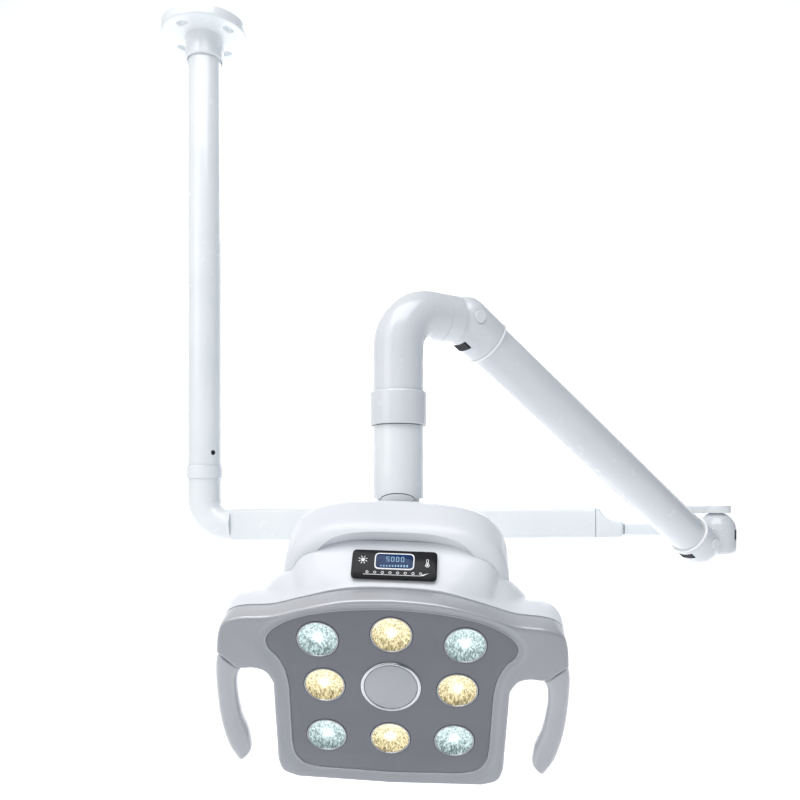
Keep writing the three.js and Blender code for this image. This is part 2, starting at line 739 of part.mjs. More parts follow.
// The hood is a closed pod behind the shell, with a slot in its top and back for the neck.
function hoodCover() {
  const skin = (levels, inset) => loft(levels.map(([z, halfWidth, top, bottom]) => archPoints(
    halfWidth - inset, top - inset, bottom + inset, z, 3.6,
  )));
  const insideLevels = hoodLevels.map((level) => [...level]);
  insideLevels[0][0] -= hoodWall;
  insideLevels.at(-1)[0] += hoodWall;
  const neckSlot = join(
    disc(neckSlotHalfWidth, 60, 200, 24).rotateX(-Math.PI / 2).translate(0, 0, -115),
    block([-neckSlotHalfWidth, 60, -200], [neckSlotHalfWidth, 200, -115]),
    block([-neckSlotHalfWidth, 51, -200], [neckSlotHalfWidth, 90, -126]),
  );
  return cut(
    skin(hoodLevels, 0), skin(insideLevels, hoodWall), neckSlot,
    shellSkin(shellLevels, 0.5), deck(0.5),
  );
}

// A pair of lugs on the shell's back, which carry the tilt pin.
function tiltBracket() {
  const profile = [
    [-64.5, 48], [-64.5, 88], [-91, 87], ...eyeArc(), [-92, 64],
  ];
  const cheek = slab(profile, 9.3, 12.3).rotateY(-Math.PI / 2).scale(-1, 1, 1);
  const otherCheek = cheek.clone().scale(-1, 1, 1);
  const foot = block([-22, 48, -67.5], [22, 88, -64.5]);
  const hole = alongX(disc(5 + FIT, -20, 20, 20)).translate(0, faceBelowTilt, -faceAheadOfTilt);
  return cut(join(foot, cheek, otherCheek), hole);
}

function eyeArc() {
  const points = [];
  for (let angle = 60; angle <= 240; angle += 20) {
    points.push([
      -faceAheadOfTilt + 12 * Math.cos(angle * DEG), faceBelowTilt + 12 * Math.sin(angle * DEG),
    ]);
  }
  return points;
}

function tiltPin() {
  const half = [[0, 15.4], [6.5, 15.4], [7.5, 14.6], [7.5, 12.6], [5, 12.6]];
  const other = half.map(([radius, x]) => [radius, -x]).reverse();
  return alongX(turned([...half, ...other], 16)).translate(0, faceBelowTilt, -faceAheadOfTilt);
}

add(face, "rear_shell", rearShell(), whitePaint);
add(face, "hood_cover", hoodCover(), whitePaint);
add(face, "tilt_bracket", tiltBracket(), steel);
add(face, "tilt_pin", tiltPin(), steel);

// ---- Control panel ----
const panelSlope = Math.atan2(8.4, 16); // the deck's rise towards the back
const panelMiddle = [0, 92, -36];
const panel = frame(face, "panel_frame", panelMiddle, [-(Math.PI / 2 - panelSlope), 0, 0]);

function roundedPlate(width, height, radius, bottom, top) {
  const shape = [];
  for (let corner = 0; corner < 4; corner += 1) {
    const cx = (corner === 0 || corner === 3 ? 1 : -1) * (width / 2 - radius);
    const cy = (corner < 2 ? 1 : -1) * (height / 2 - radius);
    for (let step = 0; step <= 3; step += 1) {
      const angle = (corner + step / 3) * (Math.PI / 2);
      shape.push([cx + radius * Math.cos(angle), cy + radius * Math.sin(angle)]);
    }
  }
  return slab(shape, bottom, top);
}

add(panel, "control_panel", roundedPlate(67.5, 26.5, 3, 0.4, 2.2), blackPanel);
add(panel, "display_window", roundedPlate(31, 14.5, 3, 2.5, 3).translate(0, 2.5, 0), displayBlue);

// ---- Electronics ----
function ledBoard() {
  const board = slab(mirrored(plateHalf(-14)), -21.5, -20);
  const chips = lensSpots.map(([x, y]) => disc(4, -20.5, -17.6, 8).translate(x, y, 0));
  return join(board, ...chips);
}

function heatSink() {
  const base = block([-64, -72, -26], [64, 46, -21.8]);
  const fins = [];
  for (let x = -60; x <= 60; x += 15) fins.push(block([x - 1.2, -68, -46], [x + 1.2, 42, -25]));
  return join(base, ...fins);
}

add(face, "led_board", ledBoard(), boardGreen);
add(face, "heat_sink", heatSink(), aluminium);
add(panel, "control_board", roundedPlate(58, 20, 2, -7.5, -5.9), boardGreen);

export default light;
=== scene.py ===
"""Looks of the ceiling-mounted dental operating light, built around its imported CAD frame.

Every piece is drawn in millimetres on its own body's local axes. A matrix worked out from the
frame's joints then places it in the row frame, in metres.
"""
import json
import random
from math import atan2, cos, pi, radians, sin, tan

import bmesh
import bpy
from mathutils import Matrix, Vector


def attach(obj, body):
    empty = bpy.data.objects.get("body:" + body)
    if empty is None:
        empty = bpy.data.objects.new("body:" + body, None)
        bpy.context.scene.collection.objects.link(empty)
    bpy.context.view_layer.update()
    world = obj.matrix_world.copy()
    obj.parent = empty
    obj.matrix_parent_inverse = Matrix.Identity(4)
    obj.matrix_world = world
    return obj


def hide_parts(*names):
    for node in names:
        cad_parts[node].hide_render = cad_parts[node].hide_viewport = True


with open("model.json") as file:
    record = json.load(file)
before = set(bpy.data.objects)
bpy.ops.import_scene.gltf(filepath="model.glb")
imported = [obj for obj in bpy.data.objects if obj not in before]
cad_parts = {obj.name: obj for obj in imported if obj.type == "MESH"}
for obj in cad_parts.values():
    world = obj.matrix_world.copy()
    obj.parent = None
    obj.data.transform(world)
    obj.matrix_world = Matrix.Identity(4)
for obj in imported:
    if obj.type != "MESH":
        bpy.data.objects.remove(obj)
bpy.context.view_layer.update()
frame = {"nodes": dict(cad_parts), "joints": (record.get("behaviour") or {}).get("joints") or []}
SCENE = bpy.context.scene

# ---- Driving sizes, in millimetres ----
MM = 0.001
FIT = 0.3                     # gap between pieces that touch
SEGMENTS = 96                 # round a full-size tube
FINE_SEGMENTS = 128           # round a ring or knuckle that is seen close to
PLATE_RADIUS = 55
PLATE_THICKNESS = 13
PLATE_SLOT_ANGLES = (59, 149, 239, 329)
BOSS_RADIUS = 24.5
BOSS_BOTTOM = -43
TUBE_RADIUS = 21
TUBE_WALL = 3
ELBOW_TOP = -583
ELBOW_BEND = 34
BEAM_AXIS = -643
BEAM_START = 40
BEAM_END = 493
BEAM_TOP = -622
BEAM_WIDTH = 32
SPINDLE_REACH = 632.9
BRACKET_TOP = -619
BRACKET_BOTTOM = -628
HINGE_OFFSET = 34
ARM_LENGTH = 400
LOWEST = radians(-28)
HIGHEST = radians(45)
SLEEVE_RADIUS = 23
EYE_RADIUS = 17
TONGUE_HALF = 8
SLOT_HALF = 8.6
PIN_RADIUS = 4
ROD_DROP = 10.5
LOWER_SLEEVE_END = 18
UPPER_SLEEVE_START = 371
RING_WIDTH = 2.7
LOWER_STOP = 9.6              # from each hinge to the middle of its stop rubber
UPPER_STOP = 10
BASE_STOP_HEIGHT = -653
BASE_STOP_TURN = radians(18)
NECK_OFFSET = 73
NECK_RADIUS = 22
GOOSENECK_BEND = 32
COLLAR_TOP = -521.6
COLLAR_BOTTOM = -550.7
NECK_BOTTOM = -614
FACE_BELOW_TILT = 76
FACE_AHEAD_OF_TILT = 98
FRAME_DEPTH = 19.5
FOOT_START = -60              # down the frame, where its foot begins to be drawn up
FOOT_LENGTH = 49
FOOT_DEPTH = 14
FOOT_RISE = 7.5
LENS_RADIUS = 16.5
BOWL_RADIUS = 15.5            # the lens inside its rim
LAMP_SHARE = 0.42             # of the bowl's radius that the bright lamp takes
LENS_SPOTS = [
    (-57.7, 43), (0, 50), (57.7, 43), (-53.4, -1), (53.4, -1), (-53, -53), (0, -53.6), (53, -53),
]
COOL_LENSES = (1, 3, 6, 8)


# ---- Places, from the frame's joints ----
JOINTS = {joint["name"]: joint for joint in frame["joints"]}


def joint_point(name):
    return Vector(JOINTS[name]["pos_m"])


def joint_axis(name):
    return Vector(JOINTS[name]["axis"]).normalized()


def axes_at(origin, x_axis, y_axis):
    """The matrix from millimetres on local axes to metres in the row frame."""
    z_axis = x_axis.cross(y_axis).normalized()
    turn = Matrix((x_axis, y_axis, z_axis)).transposed().to_4x4()
    return Matrix.Translation(origin) @ turn @ Matrix.Scale(MM, 4)


def level(vector):
    return Vector((vector.x, vector.y, 0)).normalized()


def plate_normal():
    """The lamp face's outward normal: square to the largest flat face of the lens plate."""
    largest = max(frame["nodes"]["lens_plate"].data.polygons, key=lambda face: face.area)
    normal = largest.normal.normalized()
    return normal if normal.y < 0 else -normal


UP = Vector((0, 0, 1))
spindle = joint_point("arm_swing")
lower_hinge = joint_point("arm_lift")
upper_hinge = joint_point("gooseneck_level")
neck_point = joint_point("neck_swivel")
tilt_point = joint_point("head_tilt")
out_along_beam = level(spindle)
out_along_arm = level(lower_hinge - spindle)
hinge_line = -joint_axis("arm_lift")
tilt_line = joint_axis("head_tilt")
face_normal = plate_normal()
face_up = face_normal.cross(tilt_line).normalized()

FACE_AXES = axes_at(
    tilt_point + (face_normal * FACE_AHEAD_OF_TILT - face_up * FACE_BELOW_TILT) * MM,
    tilt_line, face_up,
)


def upright(origin, x_axis):
    """Local axes with Z up."""
    return axes_at(origin, x_axis, UP.cross(x_axis))


# Each place is a matrix and the body that rides there.
LIGHT = (Matrix.Scale(MM, 4), "support")
BEAM = (upright(Vector((0, 0, 0)), out_along_beam), "support")
BASE = (upright(Vector((spindle.x, spindle.y, 0)), out_along_arm), "base")
ARM = (axes_at(lower_hinge, (upper_hinge - lower_hinge).normalized(), hinge_line), "spring_arm")
GOOSE = (upright(upper_hinge, out_along_arm), "gooseneck")
NECK = (upright(Vector((neck_point.x, neck_point.y, 0)), level(tilt_line)), "neck")
FACE = (FACE_AXES, "head")
HINGE_HEIGHT = lower_hinge.z / MM
UPPER_HINGE_HEIGHT = upper_hinge.z / MM
TILT_HEIGHT = tilt_point.z / MM


# ---- Working with solids ----
def new_object(name, data):
    thing = bpy.data.objects.new(name, data)
    SCENE.collection.objects.link(thing)
    return thing


def solid(points, faces):
    """A closed mesh object with its faces pointing out."""
    mesh = bpy.data.meshes.new("solid")
    mesh.from_pydata([tuple(point) for point in points], [], faces)
    build = bmesh.new()
    build.from_mesh(mesh)
    bmesh.ops.recalc_face_normals(build, faces=build.faces)
    build.to_mesh(mesh)
    build.free()
    return new_object("solid", mesh)


def applied(thing):
    """Makes the object's modifiers part of its mesh."""
    bpy.context.view_layer.update()
    shown = thing.evaluated_get(bpy.context.evaluated_depsgraph_get())
    mesh = bpy.data.meshes.new_from_object(shown)
    thing.modifiers.clear()
    thing.data = mesh
    return thing


def combine(target, tools, operation):
    for tool in tools:
        change = target.modifiers.new("combine", "BOOLEAN")
        change.operation = operation
        change.solver = "MANIFOLD"
        change.object = tool
    applied(target)
    for tool in tools:
        bpy.data.objects.remove(tool)
    return target


def cut(target, *tools):
    return combine(target, tools, "DIFFERENCE")


def join(target, *tools):
    return combine(target, tools, "UNION")


def moved(thing, x=0, y=0, z=0):
    thing.data.transform(Matrix.Translation((x, y, z)))
    return thing


def turned_about(thing, axis, angle):
    thing.data.transform(Matrix.Rotation(angle, 4, axis))
    return thing


def scaled(thing, x=1, y=1):
    thing.data.transform(Matrix.Diagonal((x, y, 1, 1)))
    if x * y < 0:
        thing.data.flip_normals()
    return thing


def along_x(thing):
    return turned_about(thing, "Y", pi / 2)


def along_y(thing):
    return turned_about(thing, "X", -pi / 2)


# ---- Outlines ----
def rounded(corners, steps=6, closed=False):
    """Turns each corner (a, b, radius) into a small curve, and leaves each (a, b) sharp."""
    result = []
    for i, corner in enumerate(corners):
        here = Vector(corner[:2])
        if len(corner) < 3 or (not closed and i in (0, len(corners) - 1)):
            result.append(tuple(here))
            continue
        before = Vector(corners[i - 1][:2]) - here
        after = Vector(corners[(i + 1) % len(corners)][:2]) - here
        half = before.angle(after) / 2
        reach = min(corner[2] / tan(half), 0.49 * before.length, 0.49 * after.length)
        start = here + before.normalized() * reach
        end = here + after.normalized() * reach
        for k in range(steps + 1):
            t = k / steps
            point = start * (1 - t) ** 2 + here * (2 * t * (1 - t)) + end * t ** 2
            result.append(tuple(point))
    return result


def round_rectangle(width, height, radius, steps=8):
    return rounded([
        (width / 2, height / 2, radius), (-width / 2, height / 2, radius),
        (-width / 2, -height / 2, radius), (width / 2, -height / 2, radius),
    ], steps, closed=True)


def squared_circle(angle, power):
    """A point of a unit circle that is squarer the higher the power is."""
    parts = (cos(angle), sin(angle))
    return [(1 if part >= 0 else -1) * abs(part) ** (2 / power) for part in parts]


def spline(points, steps=10):
    """A Catmull-Rom curve through the points."""
    padded = [points[0], *points, points[-1]]
    result = []
    for a, b, c, d in zip(padded, padded[1:], padded[2:], padded[3:]):
        a, b, c, d = Vector(a), Vector(b), Vector(c), Vector(d)
        for k in range(steps):
            t = k / steps
            bend = (d - c * 3 + b * 3 - a) * t ** 3 + (a * 2 - b * 5 + c * 4 - d) * t ** 2
            result.append(tuple((bend + (c - a) * t + b * 2) / 2))
    return [*result, tuple(points[-1])]


def mirrored(half):
    """The whole outline from the half that runs from the middle of the top to the bottom."""
    return [*half, *[(-x, y) for x, y in reversed(half) if x > 0.01]]


def inset(outline, amount):
    """The outline moved inwards by an amount, for an outline that runs clockwise or not."""
    area = sum(a[0] * b[1] - b[0] * a[1] for a, b in zip(outline, [*outline[1:], outline[0]]))
    inward = 1 if area > 0 else -1
    result = []
    for i, point in enumerate(outline):
        into = (Vector(point) - Vector(outline[i - 1])).normalized()
        out = (Vector(outline[(i + 1) % len(outline)]) - Vector(point)).normalized()
        normals = [Vector((-edge.y, edge.x)) * inward for edge in (into, out)]
        miter = (normals[0] + normals[1]) / max(1 + normals[0].dot(normals[1]), 0.5)
        result.append(tuple(Vector(point) + miter * amount))
    return result


# ---- Basic solids ----
def turned(profile, segments=SEGMENTS):
    """A turned shape about Z from (radius, height) points, from axis to axis or closed."""
    closed = profile[0] == profile[-1]
    rows = profile[:-1] if closed else profile
    points, rings = [], []
    for radius, height in rows:
        count = 1 if radius == 0 else segments
        rings.append(range(len(points), len(points) + count))
        for i in range(count):
            angle = 2 * pi * i / segments
            points.append((radius * cos(angle), radius * sin(angle), height))
    if closed:
        rings.append(rings[0])
    faces = []
    for low, high in zip(rings, rings[1:]):
        for i in range(segments):
            j = (i + 1) % segments
            corners = [low[i % len(low)], low[j % len(low)]]
            corners += [high[j % len(high)], high[i % len(high)]]
            faces.append(list(dict.fromkeys(corners)))
    return solid(points, faces)


def lathe(corners, steps=6, segments=SEGMENTS):
    """A turned shape with rounded corners."""
    return turned(rounded(corners, steps), segments)


def disc(radius, bottom, top, segments=SEGMENTS):
    return turned([(0, bottom), (radius, bottom), (radius, top), (0, top)], segments)


def rounded_ring(corners, steps=5, segments=SEGMENTS):
    """A ring about Z with the corners of its section rounded."""
    profile = rounded(corners, steps, closed=True)
    return turned([*profile, profile[0]], segments)


def tube(inner, outer, bottom, top, edge=0.4):
    """A tube about Z with rounded edges."""
    return rounded_ring([
        (inner, bottom, edge), (outer, bottom, edge), (outer, top, edge), (inner, top, edge),
    ], 3)


def loft(rings):
    """A closed skin through rings of the same number of points, with flat ends."""
    count = len(rings[0])
    faces = []
    for row in range(len(rings) - 1):
        for i in range(count):
            j = (i + 1) % count
            a, b = row * count, (row + 1) * count
            faces.append([a + i, a + j, b + j, b + i])
    faces.append(list(range(count)))
    faces.append([(len(rings) - 1) * count + i for i in range(count)])
    return solid([point for ring in rings for point in ring], faces)


def slab(outline, levels):
    """A flat outline made solid through levels of (inset, height)."""
    return loft([[(x, y, z) for x, y in inset(outline, amount)] for amount, z in levels])


def plain_slab(outline, bottom, top):
    return loft([[(x, y, z) for x, y in outline] for z in (bottom, top)])


def block(low, high):
    corners = [(low[0], low[1]), (high[0], low[1]), (high[0], high[1]), (low[0], high[1])]
    return plain_slab(corners, low[2], high[2])


def side_slab(outline, half_width, edge=0.0):
    """An outline in X and Z, made solid across Y with rounded edges."""
    levels = [(0, -half_width), (0, half_width)]
    if edge:
        curve = [(edge * (1 - sin(k * pi / 8)), edge * (1 - cos(k * pi / 8))) for k in range(5)]
        levels = [(a, -half_width + b) for a, b in curve]
        levels += [(a, half_width - b) for a, b in reversed(curve)]
    return turned_about(slab(outline, levels), "X", pi / 2)


def pipe(path, radius, segments=SEGMENTS):
    """A solid round bar along a path in the X-Z plane."""
    across = Vector((0, 1, 0))
    rings = []
    for i, point in enumerate(path):
        into = (Vector(point) - Vector(path[max(i - 1, 0)])).normalized()
        out = (Vector(path[min(i + 1, len(path) - 1)]) - Vector(point)).normalized()
        side = (into + out).normalized().cross(across)
        rings.append([
            Vector(point) + side * (radius * cos(2 * pi * k / segments))
            + across * (radius * sin(2 * pi * k / segments)) for k in range(segments)
        ])
    return loft(rings)


def bent_path(start, corner, end, bend, steps=28):
    start, corner, end = Vector(start), Vector(corner), Vector(end)
    before = corner + (start - corner).normalized() * bend
    after = corner + (end - corner).normalized() * bend
    centre = before + after - corner
    angles = [k * pi / 2 / steps for k in range(steps + 1)]
    arc = [centre + (before - centre) * cos(a) + (after - centre) * sin(a) for a in angles]
    return [start, *arc, end]


# ---- Materials, in metres ----
# The lenses' glow beyond the lamp in the middle is painted light.
LENS_GLOW = 0.5
PAINTED_GLINT_SCALE = 1100            # painted glints per metre in the lens glass
RELIEF_DEPTH = 0.0004         # of the finishes' grain


def feed(entry, value):
    """Sets one input of a shader node to a value or to another node's output."""
    if isinstance(value, bpy.types.NodeSocket):
        entry.id_data.links.new(value, entry)
    else:
        entry.default_value = value


def set_inputs(node, **inputs):
    """Feeds a shader node's inputs by name, with _ for each space."""
    for name, value in inputs.items():
        feed(node.inputs[name.replace("_", " ")], value)
    return node


def add_node(nodes, kind, **inputs):
    return set_inputs(nodes.new(f"ShaderNode{kind}"), **inputs)


def calculate(nodes, kind, operation, *values):
    """A Math or VectorMath node, whose inputs go by their order."""
    node = nodes.new(f"ShaderNode{kind}")
    node.operation = operation
    for entry, value in zip(node.inputs, values):
        feed(entry, value)
    return node


def colour_ramp(nodes, source, stops):
    """Turns a number into a colour, from (position, colour) stops."""
    node = add_node(nodes, "ValToRGB", Fac=source)
    ramp = node.color_ramp.elements
    for position, _ in stops[1:-1]:
        ramp.new(position)
    for element, (position, colour) in zip(ramp, stops):
        element.position = position
        element.color = (*colour, 1)
    return node.outputs["Color"]


def new_material(name):
    material = bpy.data.materials.new(name)
    material.use_nodes = True
    return material, material.node_tree.nodes


def noise(nodes, scale, detail, stretch):
    place = add_node(nodes, "TexCoord").outputs["Object"]
    mapping = add_node(nodes, "Mapping", Vector=place, Scale=stretch)
    vector = mapping.outputs["Vector"]
    return add_node(nodes, "TexNoise", Vector=vector, Scale=scale, Detail=detail).outputs["Fac"]


def surface(
    name, dark, light, rough=(0.2, 0.3), metal=0.0, tint_scale=14, grain_scale=900,
    bump=0.03, stretch=(1, 1, 1), coat=0.0, coat_rough=0.08, specular=0.5, glow=0.0,
):
    """A finish whose colour, roughness and fine relief all vary a little over the surface."""
    material, nodes = new_material(name)
    tint = colour_ramp(nodes, noise(nodes, tint_scale, 3, stretch), [(0.3, dark), (0.7, light)])
    spread = add_node(
        nodes, "MapRange", Value=noise(nodes, tint_scale * 6, 4, stretch),
        From_Min=0.3, From_Max=0.7, To_Min=rough[0], To_Max=rough[1],
    )
    grain = noise(nodes, grain_scale, 2, stretch)
    relief = add_node(nodes, "Bump", Height=grain, Strength=bump, Distance=RELIEF_DEPTH)
    shader = set_inputs(
        nodes["Principled BSDF"], Base_Color=tint, Roughness=spread.outputs["Result"],
        Normal=relief.outputs["Normal"], Metallic=metal, Coat_Weight=coat,
        Coat_Roughness=coat_rough, Specular_IOR_Level=specular,
    )
    if glow:
        set_inputs(shader, Emission_Color=tint, Emission_Strength=glow)
    return material


GLOSS_PAINT = {
    "rough": (0.2, 0.28), "grain_scale": 700, "bump": 0.05, "coat": 0.6, "coat_rough": 0.05,
}
SILVER = {
    "rough": (0.33, 0.36), "metal": 0.25, "grain_scale": 1800, "bump": 0.08, "coat": 1.0,
    "coat_rough": 0.1,
}
white_paint = surface("white_paint", (0.69, 0.72, 0.76), (0.74, 0.765, 0.8), **GLOSS_PAINT)
support_paint = surface("support_paint", (0.79, 0.83, 0.86), (0.84, 0.875, 0.9), **GLOSS_PAINT)
white_shell = surface(
    "white_shell", (0.78, 0.805, 0.85), (0.82, 0.84, 0.88), rough=(0.3, 0.38),
    grain_scale=1100, bump=0.04, coat=0.35, coat_rough=0.12,
)
trim_white = surface(
    "trim_white", (0.93, 0.94, 0.96), (0.96, 0.965, 0.98), rough=(0.3, 0.4), coat=0.4,
)
silver_frame = surface("silver_frame", (0.3, 0.31, 0.34), (0.32, 0.33, 0.36), **SILVER)
# The grips' silver is the frame's silver made lighter: painted light, as if lit from the floor
# below.
silver_grip_painted_lighter = surface("silver_grip_painted_lighter", (0.39, 0.4, 0.43), (0.42, 0.43, 0.46), **SILVER)
plate_grey = surface(
    "plate_grey", (0.148, 0.154, 0.18), (0.168, 0.175, 0.202), rough=(0.32, 0.42), metal=0.1,
    grain_scale=2000, bump=0.1, coat=0.3, coat_rough=0.2,
)
disc_grey = surface(
    "disc_grey", (0.4, 0.41, 0.44), (0.45, 0.46, 0.49), rough=(0.35, 0.45), metal=0.3,
    grain_scale=1800, bump=0.08,
)
ring_chrome = surface(
    "ring_chrome", (0.62, 0.63, 0.66), (0.74, 0.75, 0.78), rough=(0.1, 0.18), metal=1.0, bump=0.02,
)
brushed_steel = surface(
    "brushed_steel", (0.38, 0.39, 0.41), (0.52, 0.53, 0.55), rough=(0.25, 0.42), metal=1.0,
    tint_scale=60, bump=0.15, stretch=(1, 1, 9),
)
bronze = surface(
    "bronze", (0.42, 0.26, 0.1), (0.55, 0.36, 0.16), rough=(0.28, 0.4), metal=1.0,
    tint_scale=50, bump=0.1,
)
heat_sink_metal = surface(
    "heat_sink_metal", (0.55, 0.56, 0.58), (0.66, 0.67, 0.69), rough=(0.3, 0.45), metal=1.0,
    tint_scale=40, bump=0.12,
)
board_green = surface(
    "board_green", (0.02, 0.12, 0.05), (0.03, 0.18, 0.08), rough=(0.35, 0.5), tint_scale=120,
)
stop_rubber = surface(
    "stop_rubber", (0.004, 0.005, 0.008), (0.012, 0.013, 0.018), rough=(0.55, 0.75),
    grain_scale=1400, bump=0.3,
)
seam_black = surface(
    "seam_black", (0.02, 0.02, 0.025), (0.035, 0.035, 0.04), rough=(0.6, 0.8), bump=0.1,
)
panel_black = surface(
    "panel_black", (0.006, 0.006, 0.008), (0.011, 0.011, 0.014), rough=(0.3, 0.4),
    coat=0.15, specular=0.15,
)
panel_print = surface(
    "panel_print", (0.72, 0.74, 0.76), (0.82, 0.83, 0.85), rough=(0.4, 0.5), glow=0.25,
)
display_blue = surface(
    "display_blue", (0.006, 0.02, 0.07), (0.012, 0.04, 0.13), rough=(0.06, 0.1),
    tint_scale=90, bump=0.0, coat=0.1, coat_rough=0.03, specular=0.15, glow=0.25,
)
display_mark = surface(
    "display_mark", (0.2, 0.42, 0.6), (0.32, 0.55, 0.72), rough=(0.3, 0.4), glow=0.15,
)


def lens_glass(name, tones):
    """Faceted glass round a lamp that glows in the middle; the glow that spreads over the facets
    and the glints that sparkle on them are painted light.
    """
    material, nodes = new_material(name)
    place = add_node(nodes, "TexCoord").outputs["Object"]
    streaks = add_node(nodes, "Mapping", Vector=place, Scale=(1, 1, 0.45))
    cells = add_node(nodes, "TexVoronoi", Vector=streaks.outputs["Vector"], Scale=PAINTED_GLINT_SCALE)
    split = add_node(nodes, "SeparateColor", Color=cells.outputs["Color"])
    nearness = add_node(nodes, "Attribute")
    nearness.attribute_name = "painted_lamp_glow"
    glint_and_glow = calculate(
        nodes, "Math", "MULTIPLY_ADD", split.outputs["Red"], 0.4, nearness.outputs["Fac"],
    )
    tint = colour_ramp(nodes, glint_and_glow.outputs["Value"], list(zip((0.1, 0.36, 0.62, 0.95), tones)))
    spread = add_node(nodes, "MapRange", Value=split.outputs["Green"], To_Min=0.08, To_Max=0.25)
    set_inputs(
        nodes["Principled BSDF"], Base_Color=tint, Roughness=spread.outputs["Result"],
        Metallic=0.4, Coat_Weight=1.0, Coat_Roughness=0.03, Emission_Color=tint,
        Emission_Strength=LENS_GLOW,
    )
    return material


def paint_sheen_on_sides(material, axis, colour):
    """Paints a sheen on the faces that turn away from an axis: painted light that makes them
    lighter than the face itself.
    """
    nodes = material.node_tree.nodes
    shader = nodes["Principled BSDF"]
    front = shader.inputs["Base Color"].links[0].from_socket
    normal = add_node(nodes, "TexCoord").outputs["Normal"]
    facing = calculate(nodes, "VectorMath", "DOT_PRODUCT", normal, axis).outputs["Value"]
    side_sheen_share = add_node(nodes, "MapRange", Value=facing, From_Min=0.97, From_Max=0.4)
    blend = add_node(
        nodes, "MixRGB", Fac=side_sheen_share.outputs["Result"], Color1=front, Color2=(*colour, 1),
    )
    set_inputs(shader, Base_Color=blend.outputs["Color"])


# Painted highlight: the sides of the frame and the grips, turned away from the face, are painted
# lighter.
for finish in (silver_frame, silver_grip_painted_lighter):
    paint_sheen_on_sides(finish, FACE_AXES.col[2].xyz.normalized(), (0.54, 0.55, 0.58))


cool_glass = lens_glass("cool_glass", [
    (0.08, 0.12, 0.12), (0.3, 0.4, 0.4), (0.66, 0.8, 0.82), (1.0, 1.0, 1.0),
])
warm_glass = lens_glass("warm_glass", [
    (0.16, 0.13, 0.05), (0.6, 0.5, 0.26), (0.98, 0.88, 0.6), (1.0, 1.0, 0.94),
])
lens_rim = surface(
    "lens_rim", (0.36, 0.37, 0.39), (0.42, 0.43, 0.45), metal=0.5, bump=0.0, coat=1.0,
    coat_rough=0.03,
)


# ---- Finishing a piece ----
def smooth(thing, sharp_above):
    thing.data.shade_smooth()
    thing.data.set_sharp_from_angle(angle=radians(sharp_above))


def finish_piece(thing, name, place, material, nodes=(), sharp=32):
    """Places a piece, paints it and lets it ride on its body."""
    matrix, body = place
    thing.name = name
    thing.data.name = name
    thing.data.transform(matrix)
    smooth(thing, sharp)
    looks = material if isinstance(material, list) else [material]
    if len(looks) == 1:
        thing.data.materials.clear()
    for each in looks:
        thing.data.materials.append(each)
    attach(thing, body)
    if nodes:
        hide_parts(*nodes)


def stand_in(thing, node, place, material, sharp=32):
    """Finishes the fine piece that stands in for one CAD node."""
    finish_piece(thing, f"{node}_fine", place, material, [node], sharp)


def build(maker, place, slot, material, sharp=32):
    """Makes the fine piece for the CAD node that has the same name as its maker."""
    stand_in(maker(), maker.__name__, place, material, sharp)


# ---- Ceiling plate, drop tube and its fittings ----
SCREW_HEIGHT = -551
SCREW_ANGLES = (-165, -45, 75)


def slot_cutter(angle):
    """A stadium-shaped hole, wider at the mouth, for one of the plate's four screws."""
    half, radius = 3, 4.5
    outline = [
        (radius * cos(a), half + radius * sin(a)) for a in (k * pi / 16 for k in range(17))
    ]
    outline += [(-x, -y) for x, y in outline]
    tool = slab(outline, [
        (0, 2), (0, 0.8 - PLATE_THICKNESS), (-0.3, 0.3 - PLATE_THICKNESS),
        (-1, -0.1 - PLATE_THICKNESS), (-1, -1 - PLATE_THICKNESS),
    ])
    return turned_about(moved(tool, x=40), "Z", radians(angle))


def ceiling_plate():
    body = lathe([
        (0, 0), (PLATE_RADIUS, 0, 1), (PLATE_RADIUS, -PLATE_THICKNESS, 3),
        (BOSS_RADIUS, -PLATE_THICKNESS, 3), (BOSS_RADIUS, BOSS_BOTTOM, 1.6), (0, BOSS_BOTTOM),
    ], 8, 160)
    socket = lathe([
        (0, BOSS_BOTTOM - 5), (TUBE_RADIUS + 2, BOSS_BOTTOM - 5), (TUBE_RADIUS + 1.2, BOSS_BOTTOM),
        (TUBE_RADIUS + FIT, BOSS_BOTTOM + 1.4), (TUBE_RADIUS + FIT, -16), (0, -16),
    ], segments=160)
    cable_hole = moved(disc(5, BOSS_BOTTOM, 1, 48), x=13)
    return cut(body, socket, cable_hole, *[slot_cutter(angle) for angle in PLATE_SLOT_ANGLES])


def screw_place(thing, angle):
    return turned_about(moved(along_x(thing), z=SCREW_HEIGHT), "Z", radians(angle))


def drop_tube():
    body = tube(TUBE_RADIUS - TUBE_WALL, TUBE_RADIUS, ELBOW_TOP + FIT, -16 - FIT)
    holes = [screw_place(turned([
        (0, 10), (3.3, 10), (3.3, TUBE_RADIUS - 0.7), (4, TUBE_RADIUS + 0.2), (4, 30), (0, 30),
    ], 40), angle) for angle in SCREW_ANGLES]
    return cut(body, *holes)


def set_screw(angle):
    top = TUBE_RADIUS - 1.2
    body = lathe([(0, 18.1), (3, 18.1), (3, top, 0.4), (0, top)], 3, 40)
    socket = disc(1.7, top - 1.6, top + 1, 6)
    return screw_place(cut(body, socket), angle)


def tube_collar():
    return rounded_ring([
        (21.25, -584, 0.3), (22.8, -584, 0.7), (22.8, -567.5, 0.9), (21.25, -567.5, 0.3),
    ])


finish_piece(
    ceiling_plate(), "ceiling_flange", LIGHT, support_paint, ["ceiling_plate"],
)
build(drop_tube, LIGHT, "white_paint", support_paint)
for number, screw_angle in enumerate(SCREW_ANGLES, 1):
    stand_in(set_screw(screw_angle), f"set_screw_{number}", LIGHT, seam_black)
build(tube_collar, LIGHT, "white_paint", support_paint)


